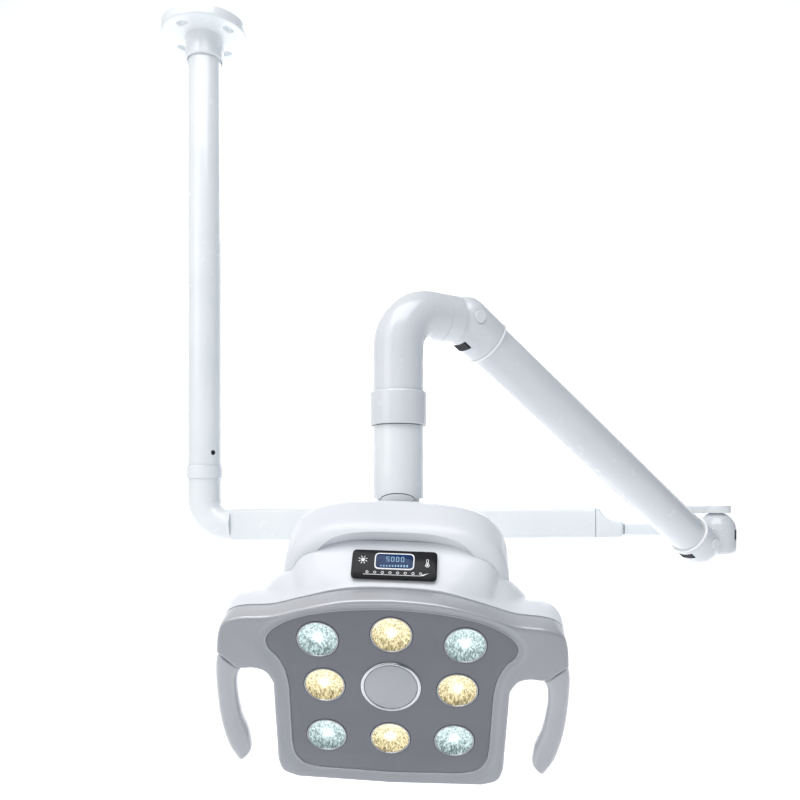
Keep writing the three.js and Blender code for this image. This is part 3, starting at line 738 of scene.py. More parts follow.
# ---- Elbow, beam, end cap, bracket and spindle ----
def support_elbow():
    """A cast elbow that ends in a square shoulder against the beam."""
    path = bent_path((0, 0, ELBOW_TOP), (0, 0, BEAM_AXIS), (BEAM_START, 0, BEAM_AXIS), ELBOW_BEND)
    outside = pipe(path, TUBE_RADIUS)
    spigot = disc(TUBE_RADIUS - TUBE_WALL - FIT, -600, -537)
    inside_path = [Vector((0, 0, -530)), *path[1:-1], Vector((BEAM_START + 5, 0, BEAM_AXIS))]
    return cut(join(outside, spigot), pipe(inside_path, 15))


def support_beam():
    """A beam, slightly deeper at the elbow, with its end edge broken."""
    start, half = BEAM_START + FIT, BEAM_WIDTH / 2
    sections = []
    for inset_by, x in ((1.2, start), (0.4, start + 0.3), (0, start + 1.2), (0, BEAM_END)):
        low = -664 + (x - start) / (BEAM_END - start) * 6.6
        corners = [(half, low, 6), (half, BEAM_TOP, 6), (-half, BEAM_TOP, 6), (-half, low, 6)]
        sections.append([
            (x, y * (1 - inset_by / half), z + (inset_by if z < BEAM_AXIS else -inset_by))
            for y, z in rounded(corners, 8, closed=True)
        ])
    return loft(sections)


def beam_end_cap():
    slope = spline([(BEAM_END + 5, BEAM_TOP), (503, -630.5), (510, -635.4), (517, -636.8)], 8)
    outline = [(BEAM_END + FIT, -657.4), (BEAM_END + FIT, BEAM_TOP), *slope]
    outline += rounded([(517, -636.8), (524.9, -637, 4), (524.9, -656.7, 4), (510, -657)], 6)[1:]
    return side_slab(outline, BEAM_WIDTH / 2, 3)


def swing_bracket():
    web = side_slab(rounded([
        (525.3, -654, 1), (572, -654, 8), (589, BRACKET_BOTTOM, 4), (640, BRACKET_BOTTOM),
        (640, BRACKET_TOP), (582, BRACKET_TOP, 8), (563, -640, 8), (525.3, -640, 1),
    ], 8, closed=True), 9, 2)
    keep = block((SPINDLE_REACH, -30, -660), (700, 30, -600))
    eye = moved(lathe([
        (0, BRACKET_BOTTOM), (16, BRACKET_BOTTOM, 0.8), (16, BRACKET_TOP, 2), (0, BRACKET_TOP),
    ]), SPINDLE_REACH)
    bore = moved(disc(8.3, -640, -600), SPINDLE_REACH)
    seat = moved(disc(11.3, BRACKET_TOP - 3.3, -600), SPINDLE_REACH)
    return cut(join(cut(web, keep), eye), bore, seat)


def swing_spindle():
    body = lathe([
        (0, -670), (8, -670, 1), (8, BRACKET_TOP - 3), (11, BRACKET_TOP - 3, 0.4),
        (11, BRACKET_TOP - 0.1, 0.8), (0, BRACKET_TOP),
    ])
    key = disc(4, BRACKET_TOP - 2.2, -600, 6)
    return moved(cut(body, key), SPINDLE_REACH)


def spindle_nut():
    body = disc(11, -674, -669.5, 6)
    chamfer = turned([(0, -680), (8, -674.6), (13, -672.2), (13, -668), (0, -668)])
    body = combine(body, [chamfer], "INTERSECT")
    return moved(cut(body, disc(8.3, -680, -660)), SPINDLE_REACH)


for maker in (support_elbow, support_beam, beam_end_cap, swing_bracket):
    build(maker, BEAM, "white_paint", support_paint)
for maker in (swing_spindle, spindle_nut):
    build(maker, BEAM, "steel", brushed_steel)


# ---- Hinge parts that both knuckles share ----
def sweep(start, end, half_height, reach, half_width):
    """The space that a tongue sweeps as it turns from one angle to another about Y."""
    def edge(angle, side):
        x, z = cos(angle), sin(angle)
        near = (-side * z * half_height, side * x * half_height)
        return near, (x * reach + near[0], z * reach + near[1])
    near_start, far_start = edge(start, -1)
    near_end, far_end = edge(end, 1)
    middle = (start + end) / 2
    tip = (cos(middle) * reach * 1.25, sin(middle) * reach * 1.25)
    heel = (-cos(middle), -sin(middle))
    return side_slab([near_start, far_start, tip, far_end, near_end, heel], half_width)


def hinge_eye(tongue, start, end):
    """The eye of a hinge, grooved for the end of the levelling rod below the hinge pin."""
    eye = along_y(lathe([
        (0, -TONGUE_HALF), (EYE_RADIUS, -TONGUE_HALF, 0.8), (EYE_RADIUS, TONGUE_HALF, 0.8),
        (0, TONGUE_HALF),
    ]))
    groove = moved(sweep(start, end, 5.2, 30, 2.6), z=-ROD_DROP)
    groove_end = moved(along_y(disc(5.2, -2.6, 2.6, 48)), z=-ROD_DROP)
    small_hole = moved(along_y(disc(2, -20, 20, 32)), z=-ROD_DROP)
    collar = along_y(disc(4.7, -TONGUE_HALF, TONGUE_HALF, 48))
    pin_hole = along_y(disc(PIN_RADIUS + FIT, -20, 20, 48))
    body = join(cut(join(tongue, eye), groove, groove_end), collar)
    return cut(body, pin_hole, small_hole)


def ball(radius, rings=48):
    profile = [
        (radius * sin(k * pi / rings), -radius * cos(k * pi / rings)) for k in range(1, rings)
    ]
    return turned([(0, -radius), *profile, (0, radius)])


# ---- Base knuckle ----
def base_stop_place(thing):
    return moved(turned_about(thing, "Z", BASE_STOP_TURN), z=BASE_STOP_HEIGHT)


def base_knuckle():
    barrel = lathe([
        (0, -676), (16.5, -676, 2), (21, -673, 3), (22, -668, 4), (22, -647, 6),
        (20.6, -640, 6), (16.5, -633.6, 6), (11, -629, 3), (8.8, -628.4, 0.6), (0, -628.4),
    ], 8, FINE_SEGMENTS)
    scoop = moved(ball(SLEEVE_RADIUS + 0.6), HINGE_OFFSET, 0, HINGE_HEIGHT)
    tongue = block((-24, -TONGUE_HALF, -11), (0, TONGUE_HALF, 11))
    eye = moved(hinge_eye(tongue, LOWEST, HIGHEST), HINGE_OFFSET, 0, HINGE_HEIGHT)
    pocket = base_stop_place(block((-4, 18, -6), (4, 26, 6)))
    body = join(cut(barrel, scoop), eye)
    return cut(body, disc(8.4, -680, -620), disc(13, -677, -668), pocket)


def pad(width, depth, height, edge=0.8):
    """A small rubber block with rounded edges, centred on the origin."""
    top = height / 2
    return slab(round_rectangle(width, depth, edge, 4), [
        (0.5, -top), (0.1, 0.3 - top), (0, 0.8 - top), (0, top - 0.8), (0.1, top - 0.3), (0.5, top),
    ])


def base_stop_rubber():
    return base_stop_place(moved(pad(7.2, 3.2, 11.2), y=20))


build(base_knuckle, BASE, "white_paint", white_paint, sharp=38)
build(base_stop_rubber, BASE, "stop_rubber", stop_rubber)


# ---- Spring arm ----
def sleeve(end, slot_from, slot_to, stop_middle):
    """A knuckle sleeve with its hinge at 0, its open end at end and its round end towards -X."""
    cap = [
        (SLEEVE_RADIUS * sin(k * pi / 48), -SLEEVE_RADIUS * cos(k * pi / 48)) for k in range(1, 25)
    ]
    outside = along_x(turned([(0, -SLEEVE_RADIUS), *cap, *rounded([
        (SLEEVE_RADIUS, 1), (SLEEVE_RADIUS, end, 0.6), (0, end),
    ], 5)]))
    bore = along_x(disc(17, 6, end + 1))
    eye_space = along_y(disc(EYE_RADIUS + 2.2, -SLOT_HALF, SLOT_HALF))
    slot = sweep(slot_from, slot_to, 12, 40, SLOT_HALF)
    pin_hole = along_y(disc(PIN_RADIUS + FIT, -30, 30, 48))
    seats = [scaled(along_y(disc(6.6, 21.5, 30, 64)), y=side) for side in (-1, 1)]
    pocket = block((stop_middle - 4.4, -SLOT_HALF, -24), (stop_middle + 4.4, SLOT_HALF, -15))
    return cut(outside, bore, eye_space, slot, pin_hole, *seats, pocket)


def hinge_pin():
    half = rounded([
        (0, 23.7), (3.4, 23.7, 0.2), (3.7, 23.3, 0.2), (4.1, 23.8, 0.2), (6.1, 23.6, 0.5),
        (6.1, 21.8), (PIN_RADIUS, 21.8),
    ], 4)
    return along_y(turned([*half, *[(radius, -y) for radius, y in reversed(half)]], 64))


def lower_sleeve():
    return sleeve(LOWER_SLEEVE_END, pi - HIGHEST, pi - LOWEST, LOWER_STOP)


def upper_sleeve():
    length = ARM_LENGTH - UPPER_SLEEVE_START
    return moved(scaled(sleeve(length, pi + LOWEST, pi + HIGHEST, UPPER_STOP), x=-1), ARM_LENGTH)


def arm_tube():
    gap = RING_WIDTH + FIT
    return along_x(tube(
        TUBE_RADIUS - TUBE_WALL, TUBE_RADIUS, LOWER_SLEEVE_END + gap, UPPER_SLEEVE_START - gap,
    ))


build(lower_sleeve, ARM, "white_paint", white_paint, sharp=38)
build(upper_sleeve, ARM, "white_paint", white_paint, sharp=38)
for end, start, stop in (
    ("lower", LOWER_SLEEVE_END + FIT, LOWER_SLEEVE_END + RING_WIDTH),
    ("upper", UPPER_SLEEVE_START - RING_WIDTH, UPPER_SLEEVE_START - FIT),
):
    finish_piece(
        along_x(tube(18, 23.2, start, stop, 0.9)),
        f"{end}_trim_fine", ARM, trim_white, [f"{end}_trim_ring"],
    )
build(arm_tube, ARM, "white_paint", white_paint)
for end, x in (("lower", 0), ("upper", ARM_LENGTH)):
    stand_in(moved(hinge_pin(), x), f"{end}_hinge_pin", ARM, white_shell)
for end, x in (("lower", LOWER_STOP), ("upper", ARM_LENGTH - UPPER_STOP)):
    rubber = moved(pad(8, 16.4, 4.2), x, 0, -20.5)
    stand_in(rubber, f"{end}_stop_rubber", ARM, stop_rubber)


# ---- Gooseneck, collar and neck ----
def gooseneck():
    leg_bottom = COLLAR_BOTTOM + FIT - UPPER_HINGE_HEIGHT
    corner, foot = Vector((NECK_OFFSET, 0, 0)), Vector((NECK_OFFSET, 0, leg_bottom))
    path = bent_path((14, 0, 0), corner, foot, GOOSENECK_BEND, 40)
    outside = pipe(path, NECK_RADIUS, FINE_SEGMENTS)
    inner_path = [Vector((26, 0, 0)), *path[1:-1], Vector((NECK_OFFSET, 0, leg_bottom - 5))]
    inside = pipe(inner_path, 18)
    scoop = ball(SLEEVE_RADIUS + 0.6)
    band = along_x(tube(NECK_RADIUS - 0.35, NECK_RADIUS + 1, 29.4, 30.1, 0.15))
    tongue = block((0, -TONGUE_HALF, -11), (22, TONGUE_HALF, 11))
    eye = hinge_eye(tongue, pi + LOWEST, pi + HIGHEST)
    return join(cut(outside, inside, scoop, band), eye)


def swivel_collar():
    top = COLLAR_TOP - UPPER_HINGE_HEIGHT
    bottom = COLLAR_BOTTOM - UPPER_HINGE_HEIGHT
    return moved(rounded_ring([
        (22.25, bottom + 2, 0.2), (23.3, bottom + 0.1, 0.4), (24.3, bottom, 0.6),
        (24.7, bottom + 1.4, 0.5), (24.7, top - 1.4, 0.8), (24.1, top, 0.6), (22.25, top, 0.2),
    ], 5, FINE_SEGMENTS), NECK_OFFSET)


def neck_gap_shadow():
    """Painted shadow: a thin dark ring that shows the shade under the collar as a line between the
    collar and the neck tube.
    """
    bottom = COLLAR_BOTTOM - UPPER_HINGE_HEIGHT
    return moved(tube(22.15, 23.1, bottom + 0.3, bottom + 1.5, 0.2), NECK_OFFSET)


build(gooseneck, GOOSE, "white_paint", white_paint, sharp=38)
build(swivel_collar, GOOSE, "white_paint", white_paint)
# A dark ring painted in as the shadow under the collar.
finish_piece(neck_gap_shadow(), "neck_gap_shadow", GOOSE, stop_rubber)


def neck_tube():
    body = tube(19, NECK_RADIUS, NECK_BOTTOM, COLLAR_BOTTOM - FIT)
    arch = along_y(scaled(disc(14.5, -60, 0), y=0.34))
    return cut(body, moved(arch, z=NECK_BOTTOM - 0.4))


def neck_dome():
    """The dome that closes the foot of the neck tube and fills the arch at its front."""
    dome = lathe([
        (12.3, NECK_BOTTOM - 4.6), (15, NECK_BOTTOM - 4.6, 1), (18.4, NECK_BOTTOM - 3, 1.2),
        (18.4, NECK_BOTTOM + 2, 5), (13, NECK_BOTTOM + 6, 2), (12.3, NECK_BOTTOM + 6),
        (12.3, NECK_BOTTOM - 4.6),
    ], 8)
    skirt = tube(17, NECK_RADIUS - 0.5, NECK_BOTTOM - 2.6, NECK_BOTTOM + 5)
    arch_fill = moved(along_y(scaled(disc(13.7, -60, 0), y=0.31)), z=NECK_BOTTOM - 0.4)
    return join(dome, combine(skirt, [arch_fill], "INTERSECT"))


build(neck_tube, NECK, "white_paint", support_paint)
finish_piece(neck_dome(), "neck_dome", NECK, white_shell)


def neck_spindle():
    shaft = lathe([
        (0, -503), (15, -503, 1), (15, -507), (10, -507), (10, -553), (18.7, -553, 0.5),
        (18.7, -560, 0.5), (12, -560), (12, -634, 1), (0, -634),
    ], 4)
    tongue = block((-8, -11, TILT_HEIGHT), (8, 11, -630))
    eye = moved(along_x(lathe([
        (0, -8), (12, -8, 0.8), (12, 8, 0.8), (0, 8),
    ], 4)), z=TILT_HEIGHT)
    hole = moved(along_x(disc(5.3, -20, 20, 48)), z=TILT_HEIGHT)
    return cut(join(shaft, tongue, eye), hole)


build(neck_spindle, NECK, "steel", brushed_steel)


# ---- Lamp head: outlines on the face, X right, Y up the plate, Z out of it ----
def frame_half():
    top = spline([
        (0, 82), (36, 79.5), (69, 71.5), (95, 63.5), (119, 61), (131, 56), (136.6, 45), (139.3, 27),
    ])
    arch = spline([(125.7, 13.2), (119, 11.8), (110, 12.5), (101, 9), (95.5, -1)])
    side = spline([(95.7, -70), (95.4, -84), (91, -97), (78, -105)])
    return [*top, *arch, *side, (0, -109)]


def plate_half():
    side = spline([
        (0, 73), (36, 70.5), (68, 64), (88, 54.5), (97.5, 44), (97, 34), (90, 25), (84.5, 12),
        (82, -4),
    ], 8)
    foot = spline([(82, -60), (80, -74), (72, -84.5), (58, -88.5)], 8)
    return [*side, *foot, (0, -90.5)]


FRAME_OUTLINE = mirrored(frame_half())
PLATE_OUTLINE = mirrored(plate_half())


def raise_foot(body):
    """Draws the front edge of the frame's foot up, so that its underside slopes."""
    for vertex in body.data.vertices:
        low = min(max((FOOT_START - vertex.co.y) / FOOT_LENGTH, 0), 1) ** 4
        ahead = min(max((vertex.co.z + FOOT_DEPTH) / FOOT_DEPTH, 0), 1)
        vertex.co.y += FOOT_RISE * low * ahead
    return body


def front_frame():
    body = slab(FRAME_OUTLINE, [
        (2.4, -FRAME_DEPTH), (2.4, 1.4 - FRAME_DEPTH), (0.3, 1.4 - FRAME_DEPTH),
        (0, 1.8 - FRAME_DEPTH), (0, -14), (0, -3.6), (0.25, -2.3), (0.8, -1.3), (1.7, -0.6),
        (2.8, -0.15), (4, 0),
    ])
    seat = slab(PLATE_OUTLINE, [
        (-0.15, -6), (-0.15, -1.9), (-0.4, -1.4), (-0.9, -1.2), (-1.5, -1.4), (-1.9, -1.75),
        (-3.6, -1.75), (-5, -1.4), (-6.4, -0.8), (-7.8, -0.3), (-9.4, 0.05), (-9.4, 1),
    ])
    window = plain_slab(inset(PLATE_OUTLINE, 4.2), -30, 0)
    return cut(raise_foot(body), seat, window)


def lens_plate():
    body = slab(PLATE_OUTLINE, [(0.4, -5.7), (0, -5.3), (0, -2.4), (0.2, -2.1), (0.6, -2)])
    holes = [moved(turned([
        (0, -8), (LENS_RADIUS + 0.15, -8), (LENS_RADIUS + 0.15, -2.7), (LENS_RADIUS + 0.7, -1.9),
        (LENS_RADIUS + 0.7, 0), (0, 0),
    ], 96), x, y) for x, y in LENS_SPOTS]
    return cut(body, *holes)


def grip(side):
    """A grip: rounded sections from the seam under the wing down to its oblique tip."""
    outer = spline([
        (139, 25.8), (142.4, 12), (143.8, -14), (143, -44), (138.4, -71), (131, -86.5),
    ], 8)
    inner = spline([
        (121.2, 9.2), (125.4, -1), (126.4, -18), (124.6, -42), (120.4, -60), (118.8, -74),
    ], 8)
    spans = [(Vector(a), Vector(b), shrink) for a, b, shrink in [
        (outer[0], inner[0], 0.8), *[(a, b, 0) for a, b in zip(outer[1:], inner[1:])],
    ]]
    ahead = Vector((-0.22, -0.97))
    last_outer, last_inner, _ = spans[-1]
    for reach, shrink in ((1.2, 0.4), (2.3, 1.3), (3.1, 2.8), (3.5, 4.6)):
        spans.append((last_outer + ahead * reach, last_inner + ahead * reach, shrink))
    middle, half_depth, power, count = -9.75, 9.05, 2.5, 48
    rings = []
    for outer_point, inner_point, shrink in spans:
        centre = (outer_point + inner_point) / 2
        half = (outer_point - inner_point) / 2
        half -= half.normalized() * shrink
        ring = []
        for k in range(count):
            x, z = squared_circle(2 * pi * k / count, power)
            across = centre + half * x
            ring.append((across.x, across.y, middle + (half_depth - shrink) * z))
        rings.append(ring)
    return scaled(loft(rings), x=side)


def lens(number, x, y):
    """A faceted reflector that deepens round its lamp, in a thin seated rim."""
    rng = random.Random(number)
    sectors = 40
    bowl = [
        (2.4, -4.3), (4.2, -4.9), (6.2, -4.7), (8.2, -4.3), (10.1, -3.8), (11.9, -3.3),
        (13.6, -2.7), (15.2, -2.1),
    ]
    rim = [
        (BOWL_RADIUS, -1.55), (15.9, -1.35), (LENS_RADIUS, -1.7), (LENS_RADIUS, -5), (8, -16.9),
    ]
    points, faces, looks = [(0, 0, -4.1)], [], []
    last = [0] * sectors
    for row, (radius, depth) in enumerate([*bowl, *rim]):
        turn = 0.5 * (min(row, len(bowl) - 1) % 2)
        ring = range(len(points), len(points) + sectors)
        for k in range(sectors):
            angle = 2 * pi * (k + turn) / sectors
            wobble = rng.uniform(-0.28, 0.28) if row < len(bowl) - 1 else 0
            points.append((radius * cos(angle), radius * sin(angle), depth + wobble))
        for k in range(sectors):
            j = (k + 1) % sectors
            if row == 0:
                faces.append([0, ring[k], ring[j]])
            elif row >= len(bowl):
                faces.append([last[k], ring[k], ring[j], last[j]])
            elif row % 2:
                faces += [[last[k], ring[k], last[j]], [last[j], ring[k], ring[j]]]
            else:
                faces += [[last[k], ring[k], ring[j]], [last[k], ring[j], last[j]]]
        last = ring
        looks += [int(row >= len(bowl))] * (len(faces) - len(looks))
    faces.append(list(reversed(last)))
    looks.append(1)
    thing = solid(points, faces)
    for face, look in zip(thing.data.polygons, looks):
        face.material_index = look
    # Painted light: how brightly the glass glows, highest at the lamp in the middle, falling off
    # outwards and lighter towards the top of the lens, with a little random tone.
    nearness = thing.data.attributes.new("painted_lamp_glow", "FLOAT", "POINT")
    for vertex, value in zip(thing.data.vertices, nearness.data):
        px, py, _ = vertex.co
        reach = (px * px + py * py) ** 0.5 / BOWL_RADIUS
        lamp = 0.6 * max(1 - reach / LAMP_SHARE, 0)
        value.value = 0.25 - 0.1 * reach + lamp + 0.009 * py + rng.uniform(-0.06, 0.06)
    return moved(thing, x, y)


def centre_ring():
    return rounded_ring([
        (21.6, -1.7, 0.3), (24.2, -1.7, 0.3), (24.2, -1.1, 0.5), (22.9, -0.25, 0.7),
        (21.6, -1, 0.4),
    ], 5, FINE_SEGMENTS)


def centre_disc():
    return lathe([(0, -1.69), (21.2, -1.69), (21.2, -1.0, 0.3), (0, -0.8)], 4, FINE_SEGMENTS)


build(front_frame, FACE, "grey_plastic", silver_frame, sharp=30)
build(lens_plate, FACE, "plate_grey", plate_grey)
for side, side_name in ((1, "right"), (-1, "left")):
    stand_in(grip(side), f"handle_{side_name}", FACE, silver_grip_painted_lighter, sharp=40)
for number, spot in enumerate(LENS_SPOTS, 1):
    tone, glass = ("cool", cool_glass) if number in COOL_LENSES else ("warm", warm_glass)
    looks = [glass, lens_rim]
    stand_in(lens(number, *spot), f"lens_{number}", FACE, looks, sharp=8)
build(centre_ring, FACE, "ring_chrome", ring_chrome)
build(centre_disc, FACE, "disc_grey", disc_grey)


# ---- Rear shell and hood ----
SHELL_LEVELS = [(-19.8, 1), (-40, 1), (-51, 0.95), (-59, 0.84), (-64, 0.64)]
DECK_LEVELS = [
    (-19.8, 82, 86, 2.8), (-25, 84.8, 86, 3.4), (-32, 88.6, 86, 4.2), (-46, 96, 86.4, 5.6),
    (-64, 102, 87, 6),
]
SHOULDER_LEVELS = [
    (-24, 72, 104, 2.4), (-32, 84, 114, 2.4), (-46, 92, 119, 2.4), (-60, 92, 117, 2.4),
]
HOOD_LEVELS = [
    (-50, 88, 108, 44), (-57, 94, 115.5, 41), (-72, 95, 121, 40), (-88, 95, 124, 39),
    (-104, 92, 113, 39), (-120, 85, 103, 40), (-132, 72, 92, 44), (-139, 52, 80, 52),
]
SHELL_CURVE, DECK_CURVE, SHOULDER_CURVE, HOOD_CURVE = [
    spline(levels, 5) for levels in (SHELL_LEVELS, DECK_LEVELS, SHOULDER_LEVELS, HOOD_LEVELS)
]
SHELL_WALL = 0.034            # of the shell, as a share of its outline
SHELL_GAP = 0.08              # from the rear shell to the hood that sits on it
VOXEL = 1.5                   # of the shell and the hood while their creases melt


def shell_skin(levels, grow):
    return loft([[
        (x * (scale + grow / 110), y * (scale + grow / 90), z) for x, y in FRAME_OUTLINE
    ] for z, scale in levels])


def arch(half_width, top, bottom, z, power, count=64):
    around = [squared_circle(pi * i / count, power) for i in range(count + 1)]
    return [(half_width * x, bottom + (top - bottom) * y, z) for x, y in around]


def deck(levels, grow):
    return loft([arch(half + grow, top + grow, 20, z, power) for z, top, half, power in levels])


def softened(thing, passes):
    """Melts the creases between joined shapes into fillets."""
    remesh = thing.modifiers.new("remesh", "REMESH")
    remesh.mode = "VOXEL"
    remesh.voxel_size = VOXEL
    melt = thing.modifiers.new("melt", "SMOOTH")
    melt.factor = 0.5
    melt.iterations = passes
    return applied(thing)


def rear_shell():
    outside = softened(join(
        shell_skin([(-8, 1), *SHELL_CURVE], 0), deck([(-8, 82, 86, 2.6), *DECK_CURVE], 0),
        deck(SHOULDER_CURVE, 0),
    ), 18)
    front = block((-200, -200, -FRAME_DEPTH - FIT), (200, 200, 0))
    inside = shell_skin([
        (-10, 1 - SHELL_WALL), *[(z + 3, scale - SHELL_WALL) for z, scale in SHELL_LEVELS[1:]],
    ], 0)
    deck_inside = deck([(-10, 82, 86, 2.6), *DECK_LEVELS], -3.2)
    deck_inside = cut(deck_inside, block((-200, -200, -80), (200, 200, -61)))
    return cut(outside, front, inside, deck_inside)


def hood_cover():
    def skin(levels, shrink):
        return loft([
            arch(half - shrink, top - shrink, bottom + shrink, z, 3.6)
            for z, half, top, bottom in levels
        ])
    outside = softened(skin(HOOD_CURVE, 0), 4)
    recess = loft([
        arch(half, top, 30, z, 3)
        for z, half, top in ((-40, 76, 117), (-51, 76, 117), (-62, 71, 100))
    ])
    back, *back_arch = HOOD_LEVELS[-1]
    inside_levels = [(-66, 94.6, 119, 40.5), *HOOD_LEVELS[2:-1], (back + 3, *back_arch)]
    slot_round = moved(turned_about(disc(24, 60, 200), "X", -pi / 2), z=-115)
    slot_back = block((-24, 60, -200), (24, 200, -115))
    slot_low = block((-24, 51, -200), (24, 90, -126))
    return cut(
        outside, recess, skin(inside_levels, 3.2), join(slot_round, slot_back, slot_low),
        shell_skin(SHELL_CURVE, SHELL_GAP), deck(DECK_CURVE, SHELL_GAP),
        deck(SHOULDER_CURVE, SHELL_GAP),
    )


build(rear_shell, FACE, "white_plastic", white_shell, sharp=50)
build(hood_cover, FACE, "white_plastic", white_shell, sharp=50)


# ---- Control panel ----
PANEL_SLOPE = atan2(8.4, 16)
PANEL_TURN = Matrix.Rotation(PANEL_SLOPE - pi / 2, 4, "X")
PANEL = (FACE_AXES @ Matrix.Translation((0, 92, -36)) @ PANEL_TURN, "head")


def control_panel():
    return slab(round_rectangle(67.5, 26.5, 4), [(0, 0.4), (0, 1.7), (0.15, 2.0), (0.5, 2.2)])


def display_window():
    return moved(slab(round_rectangle(31, 14.5, 4), [(0, 2.5), (0, 2.85), (0.3, 3)]), 0, 2.5)


PRINT_BOTTOM = 2.22
PRINT_TOP = 2.34


def stroke(x0, y0, x1, y1, width, bottom=PRINT_BOTTOM, top=PRINT_TOP):
    """A straight printed line."""
    along = Vector((x1 - x0, y1 - y0)).normalized()
    across = Vector((-along.y, along.x)) * width / 2
    start, end = Vector((x0, y0)), Vector((x1, y1))
    return plain_slab([
        tuple(start - across), tuple(end - across), tuple(end + across), tuple(start + across),
    ], bottom, top)


def circle(radius, width, x, y):
    """A printed ring."""
    hole = disc(radius - width, PRINT_BOTTOM - 1, PRINT_TOP + 1, 32)
    return moved(cut(disc(radius, PRINT_BOTTOM, PRINT_TOP, 32), hole), x, y)


def joined_flat(things):
    """Puts flat marks into one mesh without changing them."""
    points, faces = [], []
    for thing in things:
        start = len(points)
        points += [tuple(vertex.co) for vertex in thing.data.vertices]
        faces += [[start + i for i in face.vertices] for face in thing.data.polygons]
        bpy.data.objects.remove(thing)
    return solid(points, faces)


def panel_marks():
    marks = [disc(1.5, PRINT_BOTTOM, PRINT_TOP, 24)]
    for k in range(8):
        angle = k * pi / 4 + pi / 8
        c, s = cos(angle), sin(angle)
        marks.append(stroke(2.1 * c, 2.1 * s, 3.7 * c, 3.7 * s, 0.55))
    for mark in marks:
        moved(mark, -25, 3.5)
    thermometer = [
        circle(1.7, 0.5, 26, 0.2), moved(disc(0.7, PRINT_BOTTOM, PRINT_TOP, 20), 26, 0.2),
        stroke(25.2, 1.6, 25.2, 5.4, 0.4), stroke(26.8, 1.6, 26.8, 5.4, 0.4),
        stroke(25.2, 5.5, 26.8, 5.5, 0.4), stroke(26, 0.4, 26, 3.4, 0.35),
    ]
    steps = [circle(1.15, 0.4, -21 + k * 6, -7.7) for k in range(8)]
    line = [
        stroke(-24, -9.7, 21, -9.7, 0.4),
        plain_slab([
            (19.5, -9.9), (23.2, -9.5), (27.2, -7.2), (24.2, -8), (22.4, -8.6), (20.5, -9.5),
        ], PRINT_BOTTOM, PRINT_TOP),
    ]
    return joined_flat([*marks, *thermometer, *steps, *line])


def display_frame():
    ring = slab(round_rectangle(31.4, 14.9, 4), [(0, 2.3), (0, 3.0), (0.2, 3.15)])
    return moved(cut(ring, plain_slab(round_rectangle(29.6, 13.1, 3.4), 0, 6)), 0, 2.5)


DIGIT_SEGMENTS = {
    "top": (-1, 2, 1, 2), "middle": (-1, 0, 1, 0), "bottom": (-1, -2, 1, -2),
    "upper_left": (-1, 0, -1, 2), "upper_right": (1, 0, 1, 2),
    "lower_left": (-1, -2, -1, 0), "lower_right": (1, -2, 1, 0),
}
DIGITS = {
    5: ["top", "upper_left", "middle", "lower_right", "bottom"],
    0: ["top", "upper_left", "upper_right", "lower_left", "lower_right", "bottom"],
}


def display_marks():
    """Plain segment digits above a small bar scale."""
    marks = []
    for place, digit in enumerate((5, 0, 0, 0)):
        for segment in DIGITS[digit]:
            x0, y0, x1, y1 = DIGIT_SEGMENTS[segment]
            marks.append(moved(stroke(x0, y0, x1, y1, 0.45, 3.0, 3.06), -5.4 + place * 3.9, 4.4))
    for k in range(10):
        x = -10.5 + k * 2.3
        marks.append(stroke(x, -2.6, x, -1.6 + 0.12 * k, 1.2, 3.0, 3.06))
    return joined_flat(marks)


build(control_panel, PANEL, "panel_black", panel_black)
build(display_window, PANEL, "display_glass", display_blue)
finish_piece(panel_marks(), "panel_marks", PANEL, panel_print)
finish_piece(display_frame(), "display_frame", PANEL, panel_print)
finish_piece(display_marks(), "display_marks", PANEL, display_mark)


# ---- CAD nodes that stay, with better finishes ----
def paint_nodes(material, names):
    for name in names:
        materials = frame["nodes"][name].data.materials
        materials.clear()
        materials.append(material)


paint_nodes(brushed_steel, [
    "rod_pin_lower", "rod_pin_upper", "balance_spring", "spring_seat", "spring_anchor",
    "levelling_rod", "tilt_bracket", "tilt_pin",
])
paint_nodes(bronze, ["upper_bush", "lower_bush"])
paint_nodes(board_green, ["led_board", "control_board"])
paint_nodes(heat_sink_metal, ["heat_sink"])


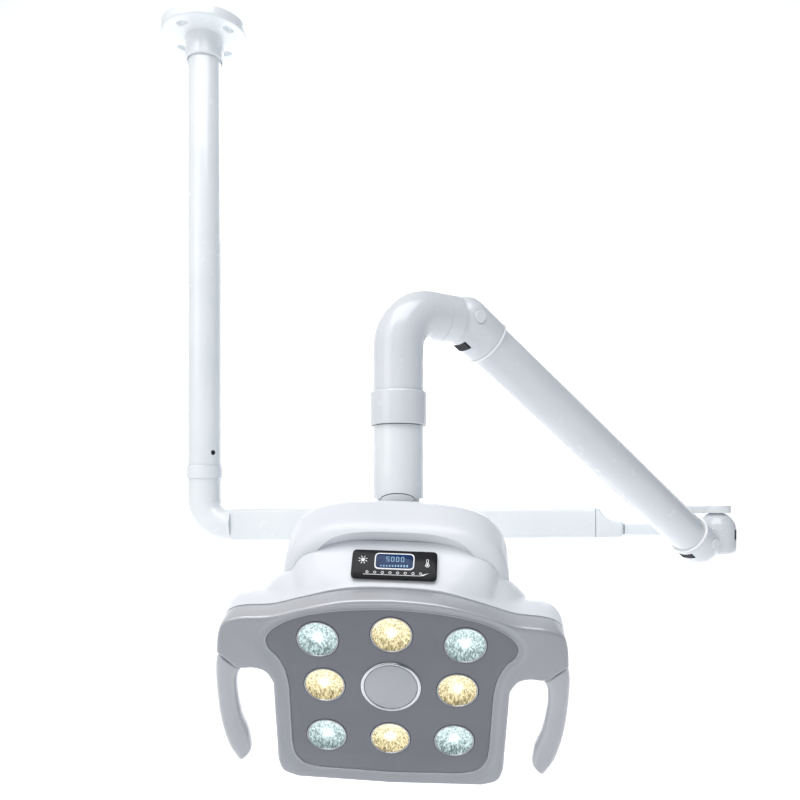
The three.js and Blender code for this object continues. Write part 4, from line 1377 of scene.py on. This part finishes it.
# ---- Floor, lights and camera ----
def backdrop():
    """A pale floor that curves up into a wall far behind the light."""
    floor_height, wall, bend, half_width = -1.35, 4.6, 1.6, 7.0
    section = [(-4.5, floor_height)]
    for k in range(25):
        angle = k / 24 * pi / 2
        section.append((wall - bend + bend * sin(angle), floor_height + bend * (1 - cos(angle))))
    section.append((wall, 4.5))
    points = [(x, y, z) for y, z in section for x in (-half_width, half_width)]
    faces = [[2 * i, 2 * i + 1, 2 * i + 3, 2 * i + 2] for i in range(len(section) - 1)]
    sheet = solid(points, faces)
    sheet.name = "floor"
    smooth(sheet, 60)
    sheet.data.materials.append(surface(
        "pale_floor", (0.86, 0.87, 0.88), (0.88, 0.89, 0.9), rough=(0.7, 0.8), tint_scale=0.6,
        grain_scale=60, bump=0.01, glow=0.35,
    ))


def area_light(name, place, target, size, power, colour=(1.0, 1.0, 1.0)):
    lamp = bpy.data.lights.new(name, "AREA")
    lamp.shape = "RECTANGLE"
    lamp.size, lamp.size_y = size
    lamp.energy = power
    lamp.color = colour
    thing = new_object(name, lamp)
    thing.location = place
    thing.rotation_euler = (Vector(target) - Vector(place)).to_track_quat("-Z", "Y").to_euler()


def studio():
    """A bright surrounding with a dimmer card to the right, and five soft lamps."""
    world = bpy.data.worlds.new("studio")
    world.use_nodes = True
    nodes = world.node_tree.nodes
    around = add_node(nodes, "TexCoord").outputs["Generated"]
    direction = add_node(nodes, "SeparateXYZ", Vector=around).outputs["X"]
    card = add_node(nodes, "MapRange", Value=direction, From_Min=0.12, From_Max=0.25)
    card.interpolation_type = "SMOOTHSTEP"
    stops = [(0, (1.0, 1.0, 1.0)), (1, (0.29, 0.335, 0.4))]
    sides = colour_ramp(nodes, card.outputs["Result"], stops)
    set_inputs(nodes["Background"], Color=sides, Strength=0.52)
    SCENE.world = world
    middle = (0.3, -0.2, -0.5)
    area_light("key", (-1.7, -1.9, 0.7), middle, (1.6, 2.2), 14, (1.0, 0.99, 0.97))
    area_light("top", (0.1, -1.2, 1.1), middle, (2.0, 1.2), 23)
    area_light("fill", (1.9, -1.6, -0.4), middle, (0.8, 1.8), 1, (0.93, 0.96, 1.0))
    area_light("back", (0.4, 1.6, 0.9), middle, (2.4, 1.0), 16)
    area_light("wall_wash", (0.3, 1.4, 1.6), (0.3, 4.4, -0.3), (4.0, 1.0), 130)


def camera():
    view = bpy.data.cameras.new("camera")
    view.lens = 36
    view.sensor_width = 36
    view.shift_y = 0.135
    thing = new_object("camera", view)
    thing.location = (0.2535, -1.039, -0.622)
    thing.rotation_euler = (pi / 2, 0, 0)
    SCENE.camera = thing


backdrop()
studio()
camera()
SCENE.view_settings.view_transform = "Standard"
